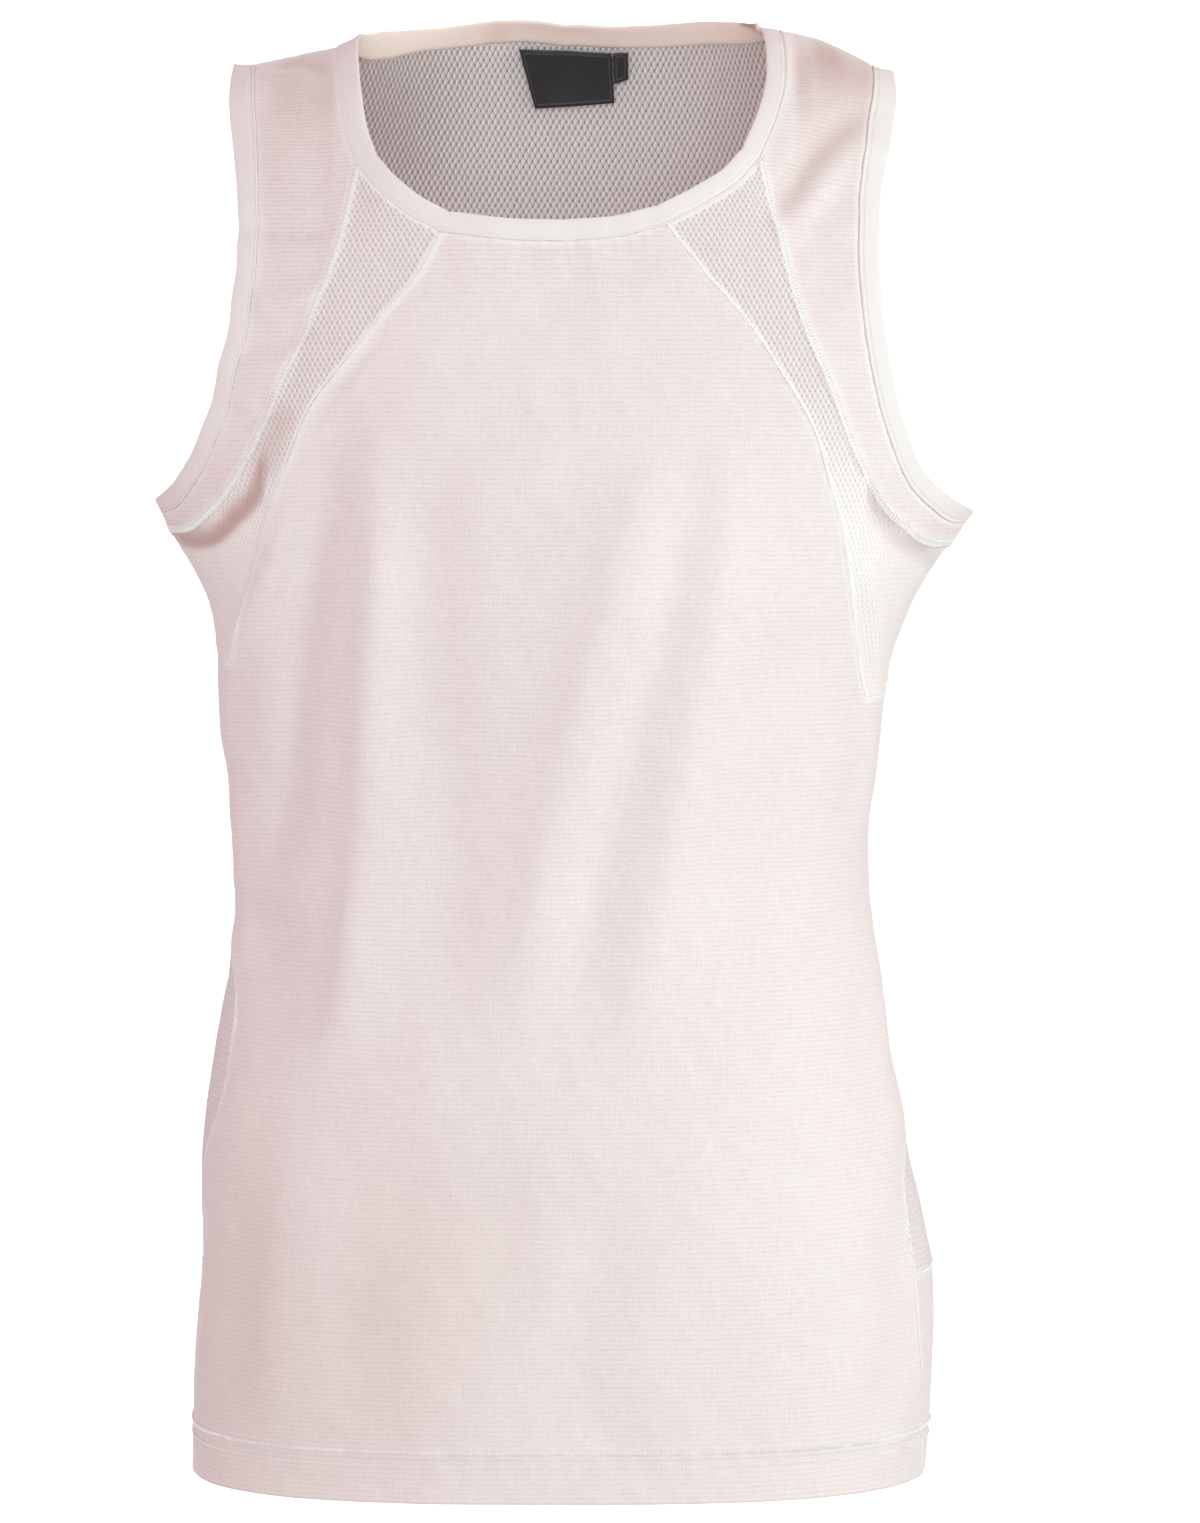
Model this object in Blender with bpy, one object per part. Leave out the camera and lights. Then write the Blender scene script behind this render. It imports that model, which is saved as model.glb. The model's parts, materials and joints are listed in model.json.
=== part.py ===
"""Running singlet, filled out as on a figure: a hollow shell of closed cloth walls.

Each sewn piece is one object. Its wall is a grid of points on the garment's surface, moved in and
out by the thickness of the cloth. The surface is an oval section at each height, closed over the
shoulders by a quarter turn to the shoulder ridge, with soft folds added.

Lengths are in millimetres until a mesh is made. +X is the wearer's left, -Y the front, +Z up.
Heights count from the hem. The finished model has its origin midway between the tops of the
shoulders, where the garment is held.
"""

from collections import namedtuple

import bpy
import numpy as np

# ---------------------------------------------------------------- driving sizes
MM = 0.001
CLOTH = 1.5            # thickness of a panel's wall
HEM_CLOTH = 2.1        # the hem is turned up, so the cloth lies double there
HEM_DEPTH = 20.0       # height of the turned-up hem
BINDING_CLOTH = 2.4    # thickness of the folded binding
BINDING_PROUD = 0.4    # the binding stands this much above the panels
BINDING_WIDTH = 8.5
BACK_NECK_WIDTH = 10.0 # the neck binding is wider behind, where it stands up
BACK_NECK_TURN = 32.0  # it turns up over this depth behind the shoulder ridge
BACK_NECK_LEAN = -0.4  # its lean towards upright at the centre back, and what comes on top of
BACK_NECK_STAND = 2.6  # that by the square of the distance across, up to the neck points
NECK_HALF = 90.0       # half the width of the neck
LABEL_CLOTH = 1.0
LABEL_CLEAR = 1.6      # the label hangs from its top edge, this far from the back
SEAM_GAP = 0.3         # the space kept between two pieces
BAND_HEIGHT = 86.0     # top of the plain band across the lower back

CAP_START = 500.0      # height where the shoulders begin to close
RIDGE_NOMINAL = 605.0  # height that the sections are read up to, at the ridge
RIDGE_DEPTH = 8.0      # the ridge lies this far behind the middle
CAP_TRAVEL = 120.0     # the part of the vertical coordinate that the quarter turn takes
SHOULDER_TOP = 600.0   # height of the origin
MEAN_RADIUS = 150.0    # turns angles into lengths where steps along a line are shared out

# Oval sections. Half widths on the wearer's right and left, depths in front and behind; the power
# is 2 for an ellipse and more for a squarer oval.
Section = namedtuple("Section", "height right left front back power")
SECTIONS = [
    Section(0, 157.0, 153.5, 121, 117, 2.80),
    Section(52, 156.0, 157.0, 118, 116, 2.80),
    Section(88, 153.0, 156.3, 116, 114, 2.75),
    Section(141, 152.5, 144.5, 112, 111, 2.60),
    Section(192, 145.0, 135.0, 108, 106, 2.45),
    Section(225, 138.5, 132.0, 106, 104, 2.35),
    Section(256, 137.0, 129.5, 105, 103, 2.30),
    Section(307, 142.5, 133.5, 110, 103, 2.30),
    Section(345, 146.0, 139.5, 115, 104, 2.25),
    Section(370, 151.5, 150.0, 117, 105, 2.15),
    Section(384, 158.5, 158.8, 116, 105.5, 2.07),
    Section(398, 167.5, 169.5, 115, 106, 2.00),
    Section(425, 173.0, 175.0, 110, 107, 2.20),
    Section(460, 174.0, 176.0, 102, 107, 2.50),
    Section(510, 173.0, 175.0, 89, 104, 2.60),
    Section(560, 172.0, 174.0, 78, 98, 2.60),
    Section(610, 171.0, 173.0, 70, 90, 2.60),
]

# Height of the shoulder ridge. Between the two neck points it is only a guide for the back neck.
Ridge = namedtuple("Ridge", "across height")
RIDGE = [
    Ridge(-180, 577), Ridge(-140, 590.5), Ridge(-125, 594), Ridge(-110, 597.5), Ridge(-96, 601),
    Ridge(-87, 605.5), Ridge(-60, 630), Ridge(0, 655), Ridge(60, 632), Ridge(87, 609.5),
    Ridge(96, 607), Ridge(110, 603), Ridge(125, 595.8), Ridge(140, 588.5), Ridge(180, 572),
]

# Seam lines seen from the front: distance from the centre line and height, on the wearer's right
# and left. A height over the shoulder ridge, such as 999, stands for the ridge itself.
Pair = namedtuple("Pair", "right_across right_height left_across left_height")
NECK_SIDE = [          # neck seam from the shoulder ridge down to the inset's upper corner
    Pair(95.0, 999, 92.0, 999),
    Pair(93.8, 588, 94.2, 592),
    Pair(92.0, 575, 93.5, 581),
    Pair(89.5, 561, 90.0, 568),
    Pair(84.5, 547, 82.3, 549.5),
]
NECK_INSET = [         # on along the inset's top edge
    Pair(84.5, 547, 82.3, 549.5),
    Pair(75.5, 536.5, 71.6, 538),
    Pair(64.0, 527, 57.0, 529),
    Pair(49.5, 519, 42.8, 521.5),
]
NECK_CENTRE = [        # on to the centre front
    Pair(49.5, 519, 42.8, 521.5),
    Pair(25.0, 515.8, 24.0, 517),
    Pair(0, 515, 0, 515),
]
OUTER_SEAM = [         # between the shoulder panel and the inset, ending at the side seam
    Pair(84.5, 547, 82.3, 549.5),
    Pair(91.0, 517.5, 88.8, 523),
    Pair(99.5, 494, 93.8, 503),
    Pair(107.0, 475, 98.5, 486),
    Pair(118.5, 450.5, 110.0, 458),
    Pair(131.0, 425, 121.0, 430),
    Pair(140.5, 411.5, 133.0, 407.5),
    Pair(149.5, 402.5, 146.0, 396),
]
INNER_SEAM = [         # between the inset and the front panel, ending at the inset's point
    Pair(49.5, 519, 42.8, 521.5),
    Pair(68.0, 491, 57.8, 503),
    Pair(88.0, 466.5, 73.0, 485.5),
    Pair(102.5, 448, 89.5, 461),
    Pair(112.5, 425, 103.0, 437),
    Pair(120.8, 399, 111.0, 411),
    Pair(127.8, 370, 117.5, 381),
    Pair(133.6, 341.5, 125.2, 327),
]
ARMHOLE_FRONT = [      # armhole seam from the shoulder ridge down towards the underarm
    Pair(130.5, 999, 131.3, 999),
    Pair(129.0, 577, 130.0, 578),
    Pair(127.3, 558, 127.0, 560),
    Pair(126.0, 533, 123.5, 525),
    Pair(126.8, 500, 123.0, 500),
    Pair(130.7, 475, 125.5, 475),
    Pair(138.4, 446, 132.5, 442),
    Pair(146.4, 426.5, 143.3, 416),
    Pair(157.0, 410, 156.0, 403.5),
]
ARMHOLE_BACK = [       # the same seam behind
    Pair(130.5, 999, 131.3, 999),
    Pair(129.0, 572, 129.0, 572),
    Pair(126.5, 540, 126.0, 538),
    Pair(126.5, 505, 125.5, 505),
    Pair(131.5, 470, 130.5, 468),
    Pair(141.5, 435, 141.0, 432),
    Pair(156.0, 411, 156.0, 406),
]
NECK_BACK = [          # neck seam behind, from the shoulder ridge to the centre back
    Pair(95.0, 999, 92.0, 999),
    Pair(88.0, 598.3, 85.0, 605),
    Pair(67.5, 601, 61.5, 605.4),
    Pair(42.0, 605.2, 42.5, 604.7),
    Pair(30.0, 606.8, 27.0, 604.8),
    Pair(0, 605.6, 0, 605.6),
]

# Side seams: the angle round the section from the centre front, at each height.
Side = namedtuple("Side", "height right left")
SIDE_SEAM = [
    Side(0, 92, 74), Side(60, 90, 73), Side(86, 89, 73), Side(129, 84, 77), Side(160, 74, 84),
    Side(190, 75, 92), Side(225, 85, 96), Side(256, 92, 97), Side(300, 95, 95), Side(335, 93, 90),
    Side(358, 90, 90), Side(410, 90, 90),
]
Level = namedtuple("Level", "right left")
INSET_CORNER = Level(358, 334)     # where the inset leaves the side seam towards its point
SHOULDER_CORNER = Level(396.5, 391.5)  # where the shoulder panel starts on the side seam
UNDERARM = Level(403, 399)         # lowest place of the armhole seam
WING_FOOT = Level(66, 62)          # angle of the line below the inset's point, at the hem

# Folds: a soft ridge (height over 0) or trough (under 0) along a line from one place to another,
# seen from the front; bow is how far its middle bends towards the wearer's left.
Fold = namedtuple("Fold", "from_x from_z to_x to_z bow width height")
FRONT_FOLDS = [
    Fold(-79, 448, -101, 150, 12, 7, 4.6),      # crest from the right breast down to the hip
    Fold(-96, 470, -124, 215, -2, 11, -4.0),    # trough beside it, along the inset
    Fold(42, 447, -23, 160, -3, 10, 3.2),       # crest slanting down from the left breast
    Fold(57, 440, -2, 150, 2, 8, -2.8),         # trough beside it
    Fold(74, 445, 24, 165, 4, 11, 3.0),         # outer crest on the left
    Fold(-52, 440, -46, 170, 6, 11, -2.6),      # broad trough in the middle
    Fold(-90, 125, 40, 130, -6, 17, -3.2),      # hollow under the belly
    Fold(-118, 140, -112, 10, 3, 10, 2.6),      # soft corner above the hem
    Fold(-52, 95, -28, 8, -3, 9, -2.2),
    Fold(12, 100, 24, 5, 3, 9, -1.9),
    Fold(62, 110, 72, 5, 2, 10, -1.8),
    Fold(104, 120, 106, 5, 0, 9, 1.8),
    Fold(-158, 392, -128, 398, 7, 7, -4.5),     # creases under the shoulder panels
    Fold(158, 387, 124, 398, 7, 7, -4.5),
    Fold(132, 578, 92, 522, 4, 6, -4.6),        # slanting folds on the left shoulder
    Fold(126, 548, 96, 505, 2, 7, -2.4),
    Fold(-98, 582, -128, 566, 2, 5, -2.6),      # slanting folds on the right shoulder
    Fold(-88, 566, -126, 548, 2, 5, -2.6),
    Fold(-126, 516, -98, 516, 0, 5, -2.0),
    Fold(-128, 488, -106, 490, 0, 5, -2.2),
]
BACK_FOLDS = [
    Fold(-70, 500, -52, 190, 8, 12, 4.2),
    Fold(-32, 470, -40, 150, -4, 13, -3.6),
    Fold(28, 480, 6, 200, 5, 13, 3.2),
    Fold(72, 500, 60, 170, -8, 13, -4.0),
    Fold(104, 430, 92, 190, 3, 11, 3.4),
    Fold(-108, 420, -98, 200, -3, 11, -3.0),
    Fold(-60, 240, 60, 236, 5, 16, -3.4),
    Fold(-84, 120, -92, 4, 2, 12, 3.0),
    Fold(-20, 110, -12, 4, -3, 12, -2.8),
    Fold(58, 120, 66, 4, 3, 12, 2.8),
    Fold(-128, 430, -96, 470, 3, 9, -2.8),
    Fold(128, 425, 98, 468, -3, 9, -2.8),
]
FOLD_END = 0.28        # share of a fold's length over which each end dies away

# Grid counts along the seams.
FRONT_COLUMNS = 24
INSET_COLUMNS = 3      # on each side of the inset's corner
WING_COLUMNS = 3
SHOULDER_COLUMNS = 4
BACK_NECK_COLUMNS = 14
SEAM_ROWS = 19         # along the inner and the outer seam
NECK_SIDE_ROWS = 7
BAND_ROWS = 5
BODY_ROWS = 14         # from the band's top up to the inset's corner
ARMHOLE_BACK_ROWS = 15
INSET_HOLD = 5         # how soon the bends of an edge die away inside a grid
BACK_HOLD = 2

# Neck label and size tab: corners seen from the front, top then bottom, right then left.
LABEL_CORNERS = [(-19.7, 605.4), (21.0, 604.0), (-12.7, 580.5), (22.2, 583.0)]
TAB_CORNERS = [(21.8, 604.0), (28.3, 604.0), (22.4, 591.2), (28.3, 593.0)]
LABEL_GRID = 5
TAB_GRID = 3

Finish = namedtuple("Finish", "colour roughness")
SHELL = Finish((0.86, 0.78, 0.77), 0.75)
MESH = Finish((0.82, 0.75, 0.74), 0.80)
BINDING = Finish((0.90, 0.84, 0.82), 0.70)
LABEL = Finish((0.012, 0.012, 0.015), 0.40)

RIGHT, LEFT = -1, 1


# ---------------------------------------------------------------- the garment's surface
def flow(known, values, at):
    """Smooth curve through (known, values), read at the places `at` (cubic Hermite)."""
    known = np.asarray(known, float)
    values = np.asarray(values, float)
    at = np.clip(at, known[0], known[-1])
    slope = np.gradient(values, known)
    i = np.clip(np.searchsorted(known, at, side="right") - 1, 0, len(known) - 2)
    step = known[i + 1] - known[i]
    s = (at - known[i]) / step
    return (
        (2 * s**3 - 3 * s**2 + 1) * values[i]
        + (s**3 - 2 * s**2 + s) * step * slope[i]
        + (3 * s**2 - 2 * s**3) * values[i + 1]
        + (s**3 - s**2) * step * slope[i + 1]
    )


def ridge_height(across):
    """Height of the shoulder ridge at a distance across."""
    return flow([r.across for r in RIDGE], [r.height for r in RIDGE], across)


def section_at(height):
    """Half width, centre, front depth, back depth and power of the oval at a height."""
    heights = [s.height for s in SECTIONS]
    right = flow(heights, [s.right for s in SECTIONS], height)
    left = flow(heights, [s.left for s in SECTIONS], height)
    front = flow(heights, [s.front for s in SECTIONS], height)
    back = flow(heights, [s.back for s in SECTIONS], height)
    power = flow(heights, [s.power for s in SECTIONS], height)
    return (right + left) / 2, (left - right) / 2, front, back, power


def closing(rise):
    """Turn over the shoulder (0 to a quarter circle) and the height to read the section at."""
    turn = np.clip((rise - CAP_START) / CAP_TRAVEL, 0, 1) * np.pi / 2
    read = np.where(rise <= CAP_START, rise, CAP_START + (RIDGE_NOMINAL - CAP_START) * np.sin(turn))
    return turn, read


def smooth_surface(angle, rise):
    """Point of the unfolded garment: angle round from the centre front, rise up from the hem."""
    turn, read = closing(rise)
    half, centre, front, back, power = section_at(read)
    sine, cosine = np.sin(angle), np.cos(angle)
    reach = (np.abs(sine) ** power + np.abs(cosine) ** power) ** (-1 / power)
    x = centre + half * reach * sine
    body_y = np.where(cosine > 0, -front, -back) * reach * cosine
    shift = np.where(rise <= CAP_START, 0.0, RIDGE_DEPTH)
    y = shift + (body_y - shift) * np.cos(turn)
    z = np.where(rise <= CAP_START, rise, CAP_START + (ridge_height(x) - CAP_START) * np.sin(turn))
    return np.stack([x, y, z], axis=-1)


def unit(vectors):
    """Vectors at length one."""
    return vectors / np.linalg.norm(vectors, axis=-1, keepdims=True)


def fold_relief(points, angle, rise):
    """How far the folds lift the cloth at each point."""
    turn, _ = closing(rise)
    relief = np.zeros(points.shape[:-1])
    x, z = points[..., 0], points[..., 2]
    for folds, facing in ((FRONT_FOLDS, 1), (BACK_FOLDS, -1)):
        fade = np.clip(facing * np.cos(angle) * 3.0, 0, 1) * np.cos(turn) ** 0.5
        for fold in folds:
            run = np.array([fold.to_x - fold.from_x, fold.to_z - fold.from_z])
            length = np.hypot(*run)
            along = ((x - fold.from_x) * run[0] + (z - fold.from_z) * run[1]) / length**2
            aside = ((x - fold.from_x) * -run[1] + (z - fold.from_z) * run[0]) / length
            bend = fold.bow * 4 * along * (1 - along)
            ends = np.clip(np.minimum(along, 1 - along) / FOLD_END, 0, 1)
            ends = ends**2 * (3 - 2 * ends)
            relief += fade * fold.height * ends * np.exp(-(((aside - bend) / fold.width) ** 2) / 2)
    return relief


def cloth_points(places):
    """Points and outward directions of the folded cloth at (angle, rise) places."""
    angle, rise = places[..., 0], places[..., 1]
    step_angle, step_rise = 1e-3, 0.25
    points = smooth_surface(angle, rise)
    round_ = smooth_surface(angle + step_angle, rise) - smooth_surface(angle - step_angle, rise)
    lower = np.minimum(rise, CAP_START + CAP_TRAVEL - step_rise)
    up = smooth_surface(angle, lower + step_rise) - smooth_surface(angle, lower - step_rise)
    outward = unit(np.cross(round_, up))
    return points + outward * fold_relief(points, angle, rise)[..., None], outward


def place_of(across, height, behind=False):
    """(angle, rise) of the place seen from the front at a distance across and a height."""
    across = np.asarray(across, float)
    top = ridge_height(across)
    height = np.minimum(height, top)
    turn = np.arcsin(np.clip((height - CAP_START) / (top - CAP_START), 0, 1))
    rise = np.where(height <= CAP_START, height, CAP_START + CAP_TRAVEL * turn / (np.pi / 2))
    _, read = closing(rise)
    half, centre, _, _, power = section_at(read)
    share = np.clip((across - centre) / half, -1, 1)
    angle = np.arctan2(share, (1 - np.abs(share) ** power) ** (1 / power))
    return np.stack([np.pi - angle if behind else angle, rise], axis=-1)


# ---------------------------------------------------------------- lines and grids of places
def run_along(line):
    """Distance run along a line of places, with angles taken at the garment's mean radius."""
    steps = np.diff(line, axis=0) * np.array([MEAN_RADIUS, 1.0])
    return np.concatenate([[0], np.cumsum(np.linalg.norm(steps, axis=1))])


def spread(knots, count):
    """`count` equal steps along a smooth line through knots (rows of places)."""
    knots = np.asarray(knots, float)
    run = run_along(knots)
    at = np.linspace(0, run[-1], count + 1)
    return np.stack([flow(run, knots[:, 0], at), flow(run, knots[:, 1], at)], axis=-1)


def knots_of(rows, side, behind=False):
    """Places of a table's rows on one side of the wearer."""
    if side == RIGHT:
        across = -np.array([row.right_across for row in rows], float)
        height = np.array([row.right_height for row in rows], float)
    else:
        across = np.array([row.left_across for row in rows], float)
        height = np.array([row.left_height for row in rows], float)
    places = place_of(across, height, behind)
    if behind and side == RIGHT:
        places[:, 0] -= 2 * np.pi
    return places


def of_side(pair, side):
    """The value for one side."""
    return pair.right if side == RIGHT else pair.left


def side_seam(side, low, high, count):
    """Places along the side seam between two heights."""
    rise = np.linspace(low, high, count + 1)
    degrees = flow([s.height for s in SIDE_SEAM], [of_side(s, side) for s in SIDE_SEAM], rise)
    return np.stack([side * np.radians(degrees), rise], axis=-1)


def join(*lines):
    """Lines end to end, without the repeated places."""
    return np.concatenate([lines[0]] + [line[1:] for line in lines[1:]])


def patch(bottom, top, first, last, hold=1):
    """Grid of places between two side lines, bent to its bottom and top lines.

    Rows run from `first` to `last`, up from the bottom. The bends of the bottom and top lines die
    away over the run of the side lines, sooner the larger `hold` is. With the sides given as bottom
    and top it is the other way round: columns are straight, and the sides' bends die away inwards.
    """
    u = np.linspace(0, 1, len(bottom))[None, :, None]
    run = run_along(first) / run_along(first)[-1] + run_along(last) / run_along(last)[-1]
    v = run[:, None, None] / 2
    ruled = (1 - u) * first[:, None] + u * last[:, None]
    bottom_bend = bottom[None] - ruled[:1]
    top_bend = top[None] - ruled[-1:]
    return ruled + (1 - v) ** hold * bottom_bend + v**hold * top_bend


def straight(start, end, count):
    """Places at equal steps from one to another."""
    s = np.linspace(0, 1, count + 1)[:, None]
    return (1 - s) * start + s * end


# ---------------------------------------------------------------- walls and objects
def quads_of(rows, columns, closed=False):
    """Corner numbers of a grid's faces, with the rows going up and the columns to the left side."""
    numbers = np.arange(rows * columns).reshape(rows, columns)
    if closed:
        numbers = np.concatenate([numbers, numbers[:1]], axis=0)
    return np.stack(
        [numbers[:-1, :-1], numbers[:-1, 1:], numbers[1:, 1:], numbers[1:, :-1]], axis=-1
    ).reshape(-1, 4)


def rim_edges(quads):
    """Edges that only one face has, in that face's direction."""
    edges = np.concatenate([quads[:, [i, (i + 1) % 4]] for i in range(4)])
    _, which, times = np.unique(np.sort(edges, axis=1), axis=0, return_inverse=True, return_counts=True)
    return edges[times[which.ravel()] == 1]


def drawn_in(points, outward, rim, gap):
    """Points with the rim moved inwards by `gap`, square to each edge (mitred at corners)."""
    way = np.cross(outward[rim[:, 0]] + outward[rim[:, 1]], points[rim[:, 1]] - points[rim[:, 0]])
    way = unit(way)
    before = np.zeros_like(points)
    after = np.zeros_like(points)
    after[rim[:, 0]] = way
    before[rim[:, 1]] = way
    on_rim = np.unique(rim)
    a, b = before[on_rim], after[on_rim]
    spread_out = np.maximum(1 + (a * b).sum(axis=1, keepdims=True), 0.35)
    moved = points.copy()
    moved[on_rim] += gap * (a + b) / spread_out
    return moved


def rim_faces(points, rim, total):
    """Triangles across the wall's edge; neighbours split each step of a seam along one diagonal."""
    level = points @ np.array([0.37, 0.21, 1.0])
    start, end = rim[:, 0], rim[:, 1]
    falling = (level[start] > level[end])[:, None]
    first = np.where(
        falling,
        np.stack([end, start, end + total], axis=-1),
        np.stack([end, start, start + total], axis=-1),
    )
    second = np.where(
        falling,
        np.stack([start, start + total, end + total], axis=-1),
        np.stack([end, start + total, end + total], axis=-1),
    )
    return np.concatenate([first, second])


def make_object(name, points, faces, finish):
    """Mesh object in metres, lowered to the origin between the shoulders."""
    world = (points - np.array([0, RIDGE_DEPTH, SHOULDER_TOP])) * MM
    mesh = bpy.data.meshes.new(name)
    mesh.from_pydata(world.tolist(), [], faces)
    mesh.validate()
    mesh.shade_smooth()
    mesh.set_sharp_from_angle(angle=np.radians(40))
    material = bpy.data.materials.new(name)
    material.use_nodes = True
    shader = material.node_tree.nodes["Principled BSDF"]
    shader.inputs["Base Color"].default_value = (*finish.colour, 1)
    shader.inputs["Roughness"].default_value = finish.roughness
    shader.inputs["Metallic"].default_value = 0.0
    mesh.materials.append(material)
    piece = bpy.data.objects.new(name, mesh)
    bpy.context.collection.objects.link(piece)
    return piece


def wall(name, points, outward, quads, thickness, proud, finish):
    """Closed wall: the outer face `proud` of the surface, the inner face a thickness below it."""
    rim = rim_edges(quads)
    points = drawn_in(points, outward, rim, SEAM_GAP / 2)
    thickness = np.broadcast_to(thickness, points.shape[:1])[:, None]
    outer = points + outward * proud
    inner = outer - outward * thickness
    total = len(points)
    faces = quads.tolist() + (quads[:, ::-1] + total).tolist() + rim_faces(points, rim, total).tolist()
    return make_object(name, np.concatenate([outer, inner]), faces, finish)


def panel(name, grids, finish):
    """Wall of one or more grids of places, joined where they share places."""
    places = np.concatenate([grid.reshape(-1, 2) for grid in grids])
    starts = np.cumsum([0] + [grid.shape[0] * grid.shape[1] for grid in grids[:-1]])
    quads = np.concatenate(
        [quads_of(*grid.shape[:2]) + start for grid, start in zip(grids, starts)]
    )
    _, first, which = np.unique(
        np.round(places, 5), axis=0, return_index=True, return_inverse=True
    )
    quads = which.ravel()[quads]
    places = places[first]
    points, outward = cloth_points(places)
    hem = np.clip((HEM_DEPTH + 2 - places[:, 1]) / 2, 0, 1)
    thickness = CLOTH + (HEM_CLOTH - CLOTH) * hem
    return wall(name, points, outward, quads, thickness, 0.0, finish)


def binding(name, places, finish, width=BINDING_WIDTH, lean=0.0):
    """Folded strip along a closed line of places, from the seam into the opening.

    It starts along the cloth and turns upright by `lean`; `width` and `lean` may vary along it.
    """
    points, outward = cloth_points(places)
    along = unit(np.roll(points, -1, axis=0) - np.roll(points, 1, axis=0))
    inwards = unit(np.cross(outward, along))
    half = np.broadcast_to(width, len(places))[:, None] / 2
    rise = np.broadcast_to(lean, len(places))[:, None] * np.array([0, 0, 1.0])
    first = unit(inwards + rise / 2)
    second = unit(inwards + rise)
    middle = points + first * half
    grid = np.stack([points, middle, middle + second * half], axis=1)
    directions = np.stack(
        [outward, unit(np.cross(along, first)), unit(np.cross(along, second))], axis=1
    )
    quads = quads_of(*grid.shape[:2], closed=True)[:, ::-1]
    return wall(
        name, grid.reshape(-1, 3), directions.reshape(-1, 3), quads,
        BINDING_CLOTH, BINDING_PROUD, finish,
    )


def label(name, corners, steps, finish):
    """Flat tab that hangs inside the back, on the panel's inner face."""
    s = np.linspace(0, 1, steps + 1)
    (a, b), (c, d) = np.array(corners[:2]), np.array(corners[2:])
    top = a + s[:, None] * (b - a)
    bottom = c + s[:, None] * (d - c)
    seen = (1 - s)[:, None, None] * bottom[None] + s[:, None, None] * top[None]
    points, outward = cloth_points(place_of(seen[..., 0], seen[..., 1], behind=True))
    quads = quads_of(steps + 1, steps + 1)[:, ::-1]
    below = -(CLOTH + LABEL_CLEAR)
    return wall(
        name, points.reshape(-1, 3), outward.reshape(-1, 3), quads, LABEL_CLOTH, below, finish
    )


# ---------------------------------------------------------------- the lines of the cut
class Cut:
    """All seam lines of one side of the wearer, as places, with the counts of the grids."""

    def __init__(self, side):
        self.side = side
        corner = of_side(INSET_CORNER, side)
        shoulder = of_side(SHOULDER_CORNER, side)
        underarm = of_side(UNDERARM, side)
        self.band_side = side_seam(side, 0, BAND_HEIGHT, BAND_ROWS)
        self.body_side = side_seam(side, BAND_HEIGHT, corner, BODY_ROWS)
        self.inset_side = side_seam(side, corner, shoulder, INSET_COLUMNS)
        self.shoulder_side = side_seam(side, shoulder, underarm, SHOULDER_COLUMNS)
        self.neck_side = spread(knots_of(NECK_SIDE, side), NECK_SIDE_ROWS)
        self.neck_inset = spread(knots_of(NECK_INSET, side), 2 * INSET_COLUMNS)
        self.neck_centre = spread(knots_of(NECK_CENTRE, side), FRONT_COLUMNS // 2)
        outer = np.concatenate([knots_of(OUTER_SEAM, side), self.inset_side[-1:]])
        self.outer_seam = spread(outer, SEAM_ROWS)
        self.inner_seam = spread(knots_of(INNER_SEAM, side), SEAM_ROWS)
        armhole = np.concatenate([knots_of(ARMHOLE_FRONT, side), self.shoulder_side[-1:]])
        self.armhole_front = spread(armhole, NECK_SIDE_ROWS + SEAM_ROWS)
        behind = knots_of(ARMHOLE_BACK, side, behind=True)
        armhole = np.concatenate([behind, self.shoulder_side[-1:]])
        self.armhole_back = spread(armhole, ARMHOLE_BACK_ROWS)
        self.neck_back = spread(knots_of(NECK_BACK, side, behind=True), BACK_NECK_COLUMNS // 2)
        self.point = self.inner_seam[-1]
        self.under_inset = straight(self.inset_side[0], self.point, WING_COLUMNS)
        foot = np.array([side * np.radians(of_side(WING_FOOT, side)), 0.0])
        self.under_point = self.wing_line(foot)
        self.ridge_front = straight(self.neck_side[0], self.armhole_front[0], SHOULDER_COLUMNS)
        self.ridge_back = straight(self.neck_back[0], self.armhole_back[0], SHOULDER_COLUMNS)

    def wing_line(self, foot):
        """Line inside the front panel from the hem up to the inset's point."""
        rises = join(self.band_side, self.body_side)[:, 1]
        share = (rises / rises[-1])[:, None]
        return (1 - share) * foot + share * self.point


def front_panel(right, left):
    """Front body panel: the middle, and a wing beyond the point of each inset."""
    neck = join(right.neck_centre, left.neck_centre[::-1])
    hem = straight(right.under_point[0], left.under_point[0], FRONT_COLUMNS)
    first = join(right.under_point, right.inner_seam[::-1])
    last = join(left.under_point, left.inner_seam[::-1])
    grids = [patch(hem, neck, first, last)]
    for cut in (right, left):
        outer = join(cut.band_side, cut.body_side)
        foot = straight(outer[0], cut.under_point[0], WING_COLUMNS)
        grid = patch(foot, cut.under_inset, outer, cut.under_point)
        grids.append(grid if cut.side == RIGHT else grid[:, ::-1])
    return panel("front_panel", grids, SHELL)


def inset(name, cut):
    """Mesh inset between the shoulder panel and the front panel."""
    foot = join(cut.inset_side[::-1], cut.under_inset)
    grid = patch(foot, cut.neck_inset, cut.outer_seam[::-1], cut.inner_seam[::-1], INSET_HOLD)
    return panel(name, [grid if cut.side == RIGHT else grid[:, ::-1]], MESH)


def shoulder(name, cut):
    """Shoulder panel from the shoulder seam down to the underarm."""
    inner = join(cut.neck_side, cut.outer_seam)
    grid = patch(
        cut.shoulder_side[::-1], cut.ridge_front[::-1], cut.armhole_front[::-1], inner[::-1]
    )
    return panel(name, [grid if cut.side == RIGHT else grid[:, ::-1]], SHELL)


def turned(line):
    """Places counted on through the centre back, so that the back is one run of angles."""
    return np.stack([np.where(line[:, 0] < 0, line[:, 0] + 2 * np.pi, line[:, 0]), line[:, 1]], -1)


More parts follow.
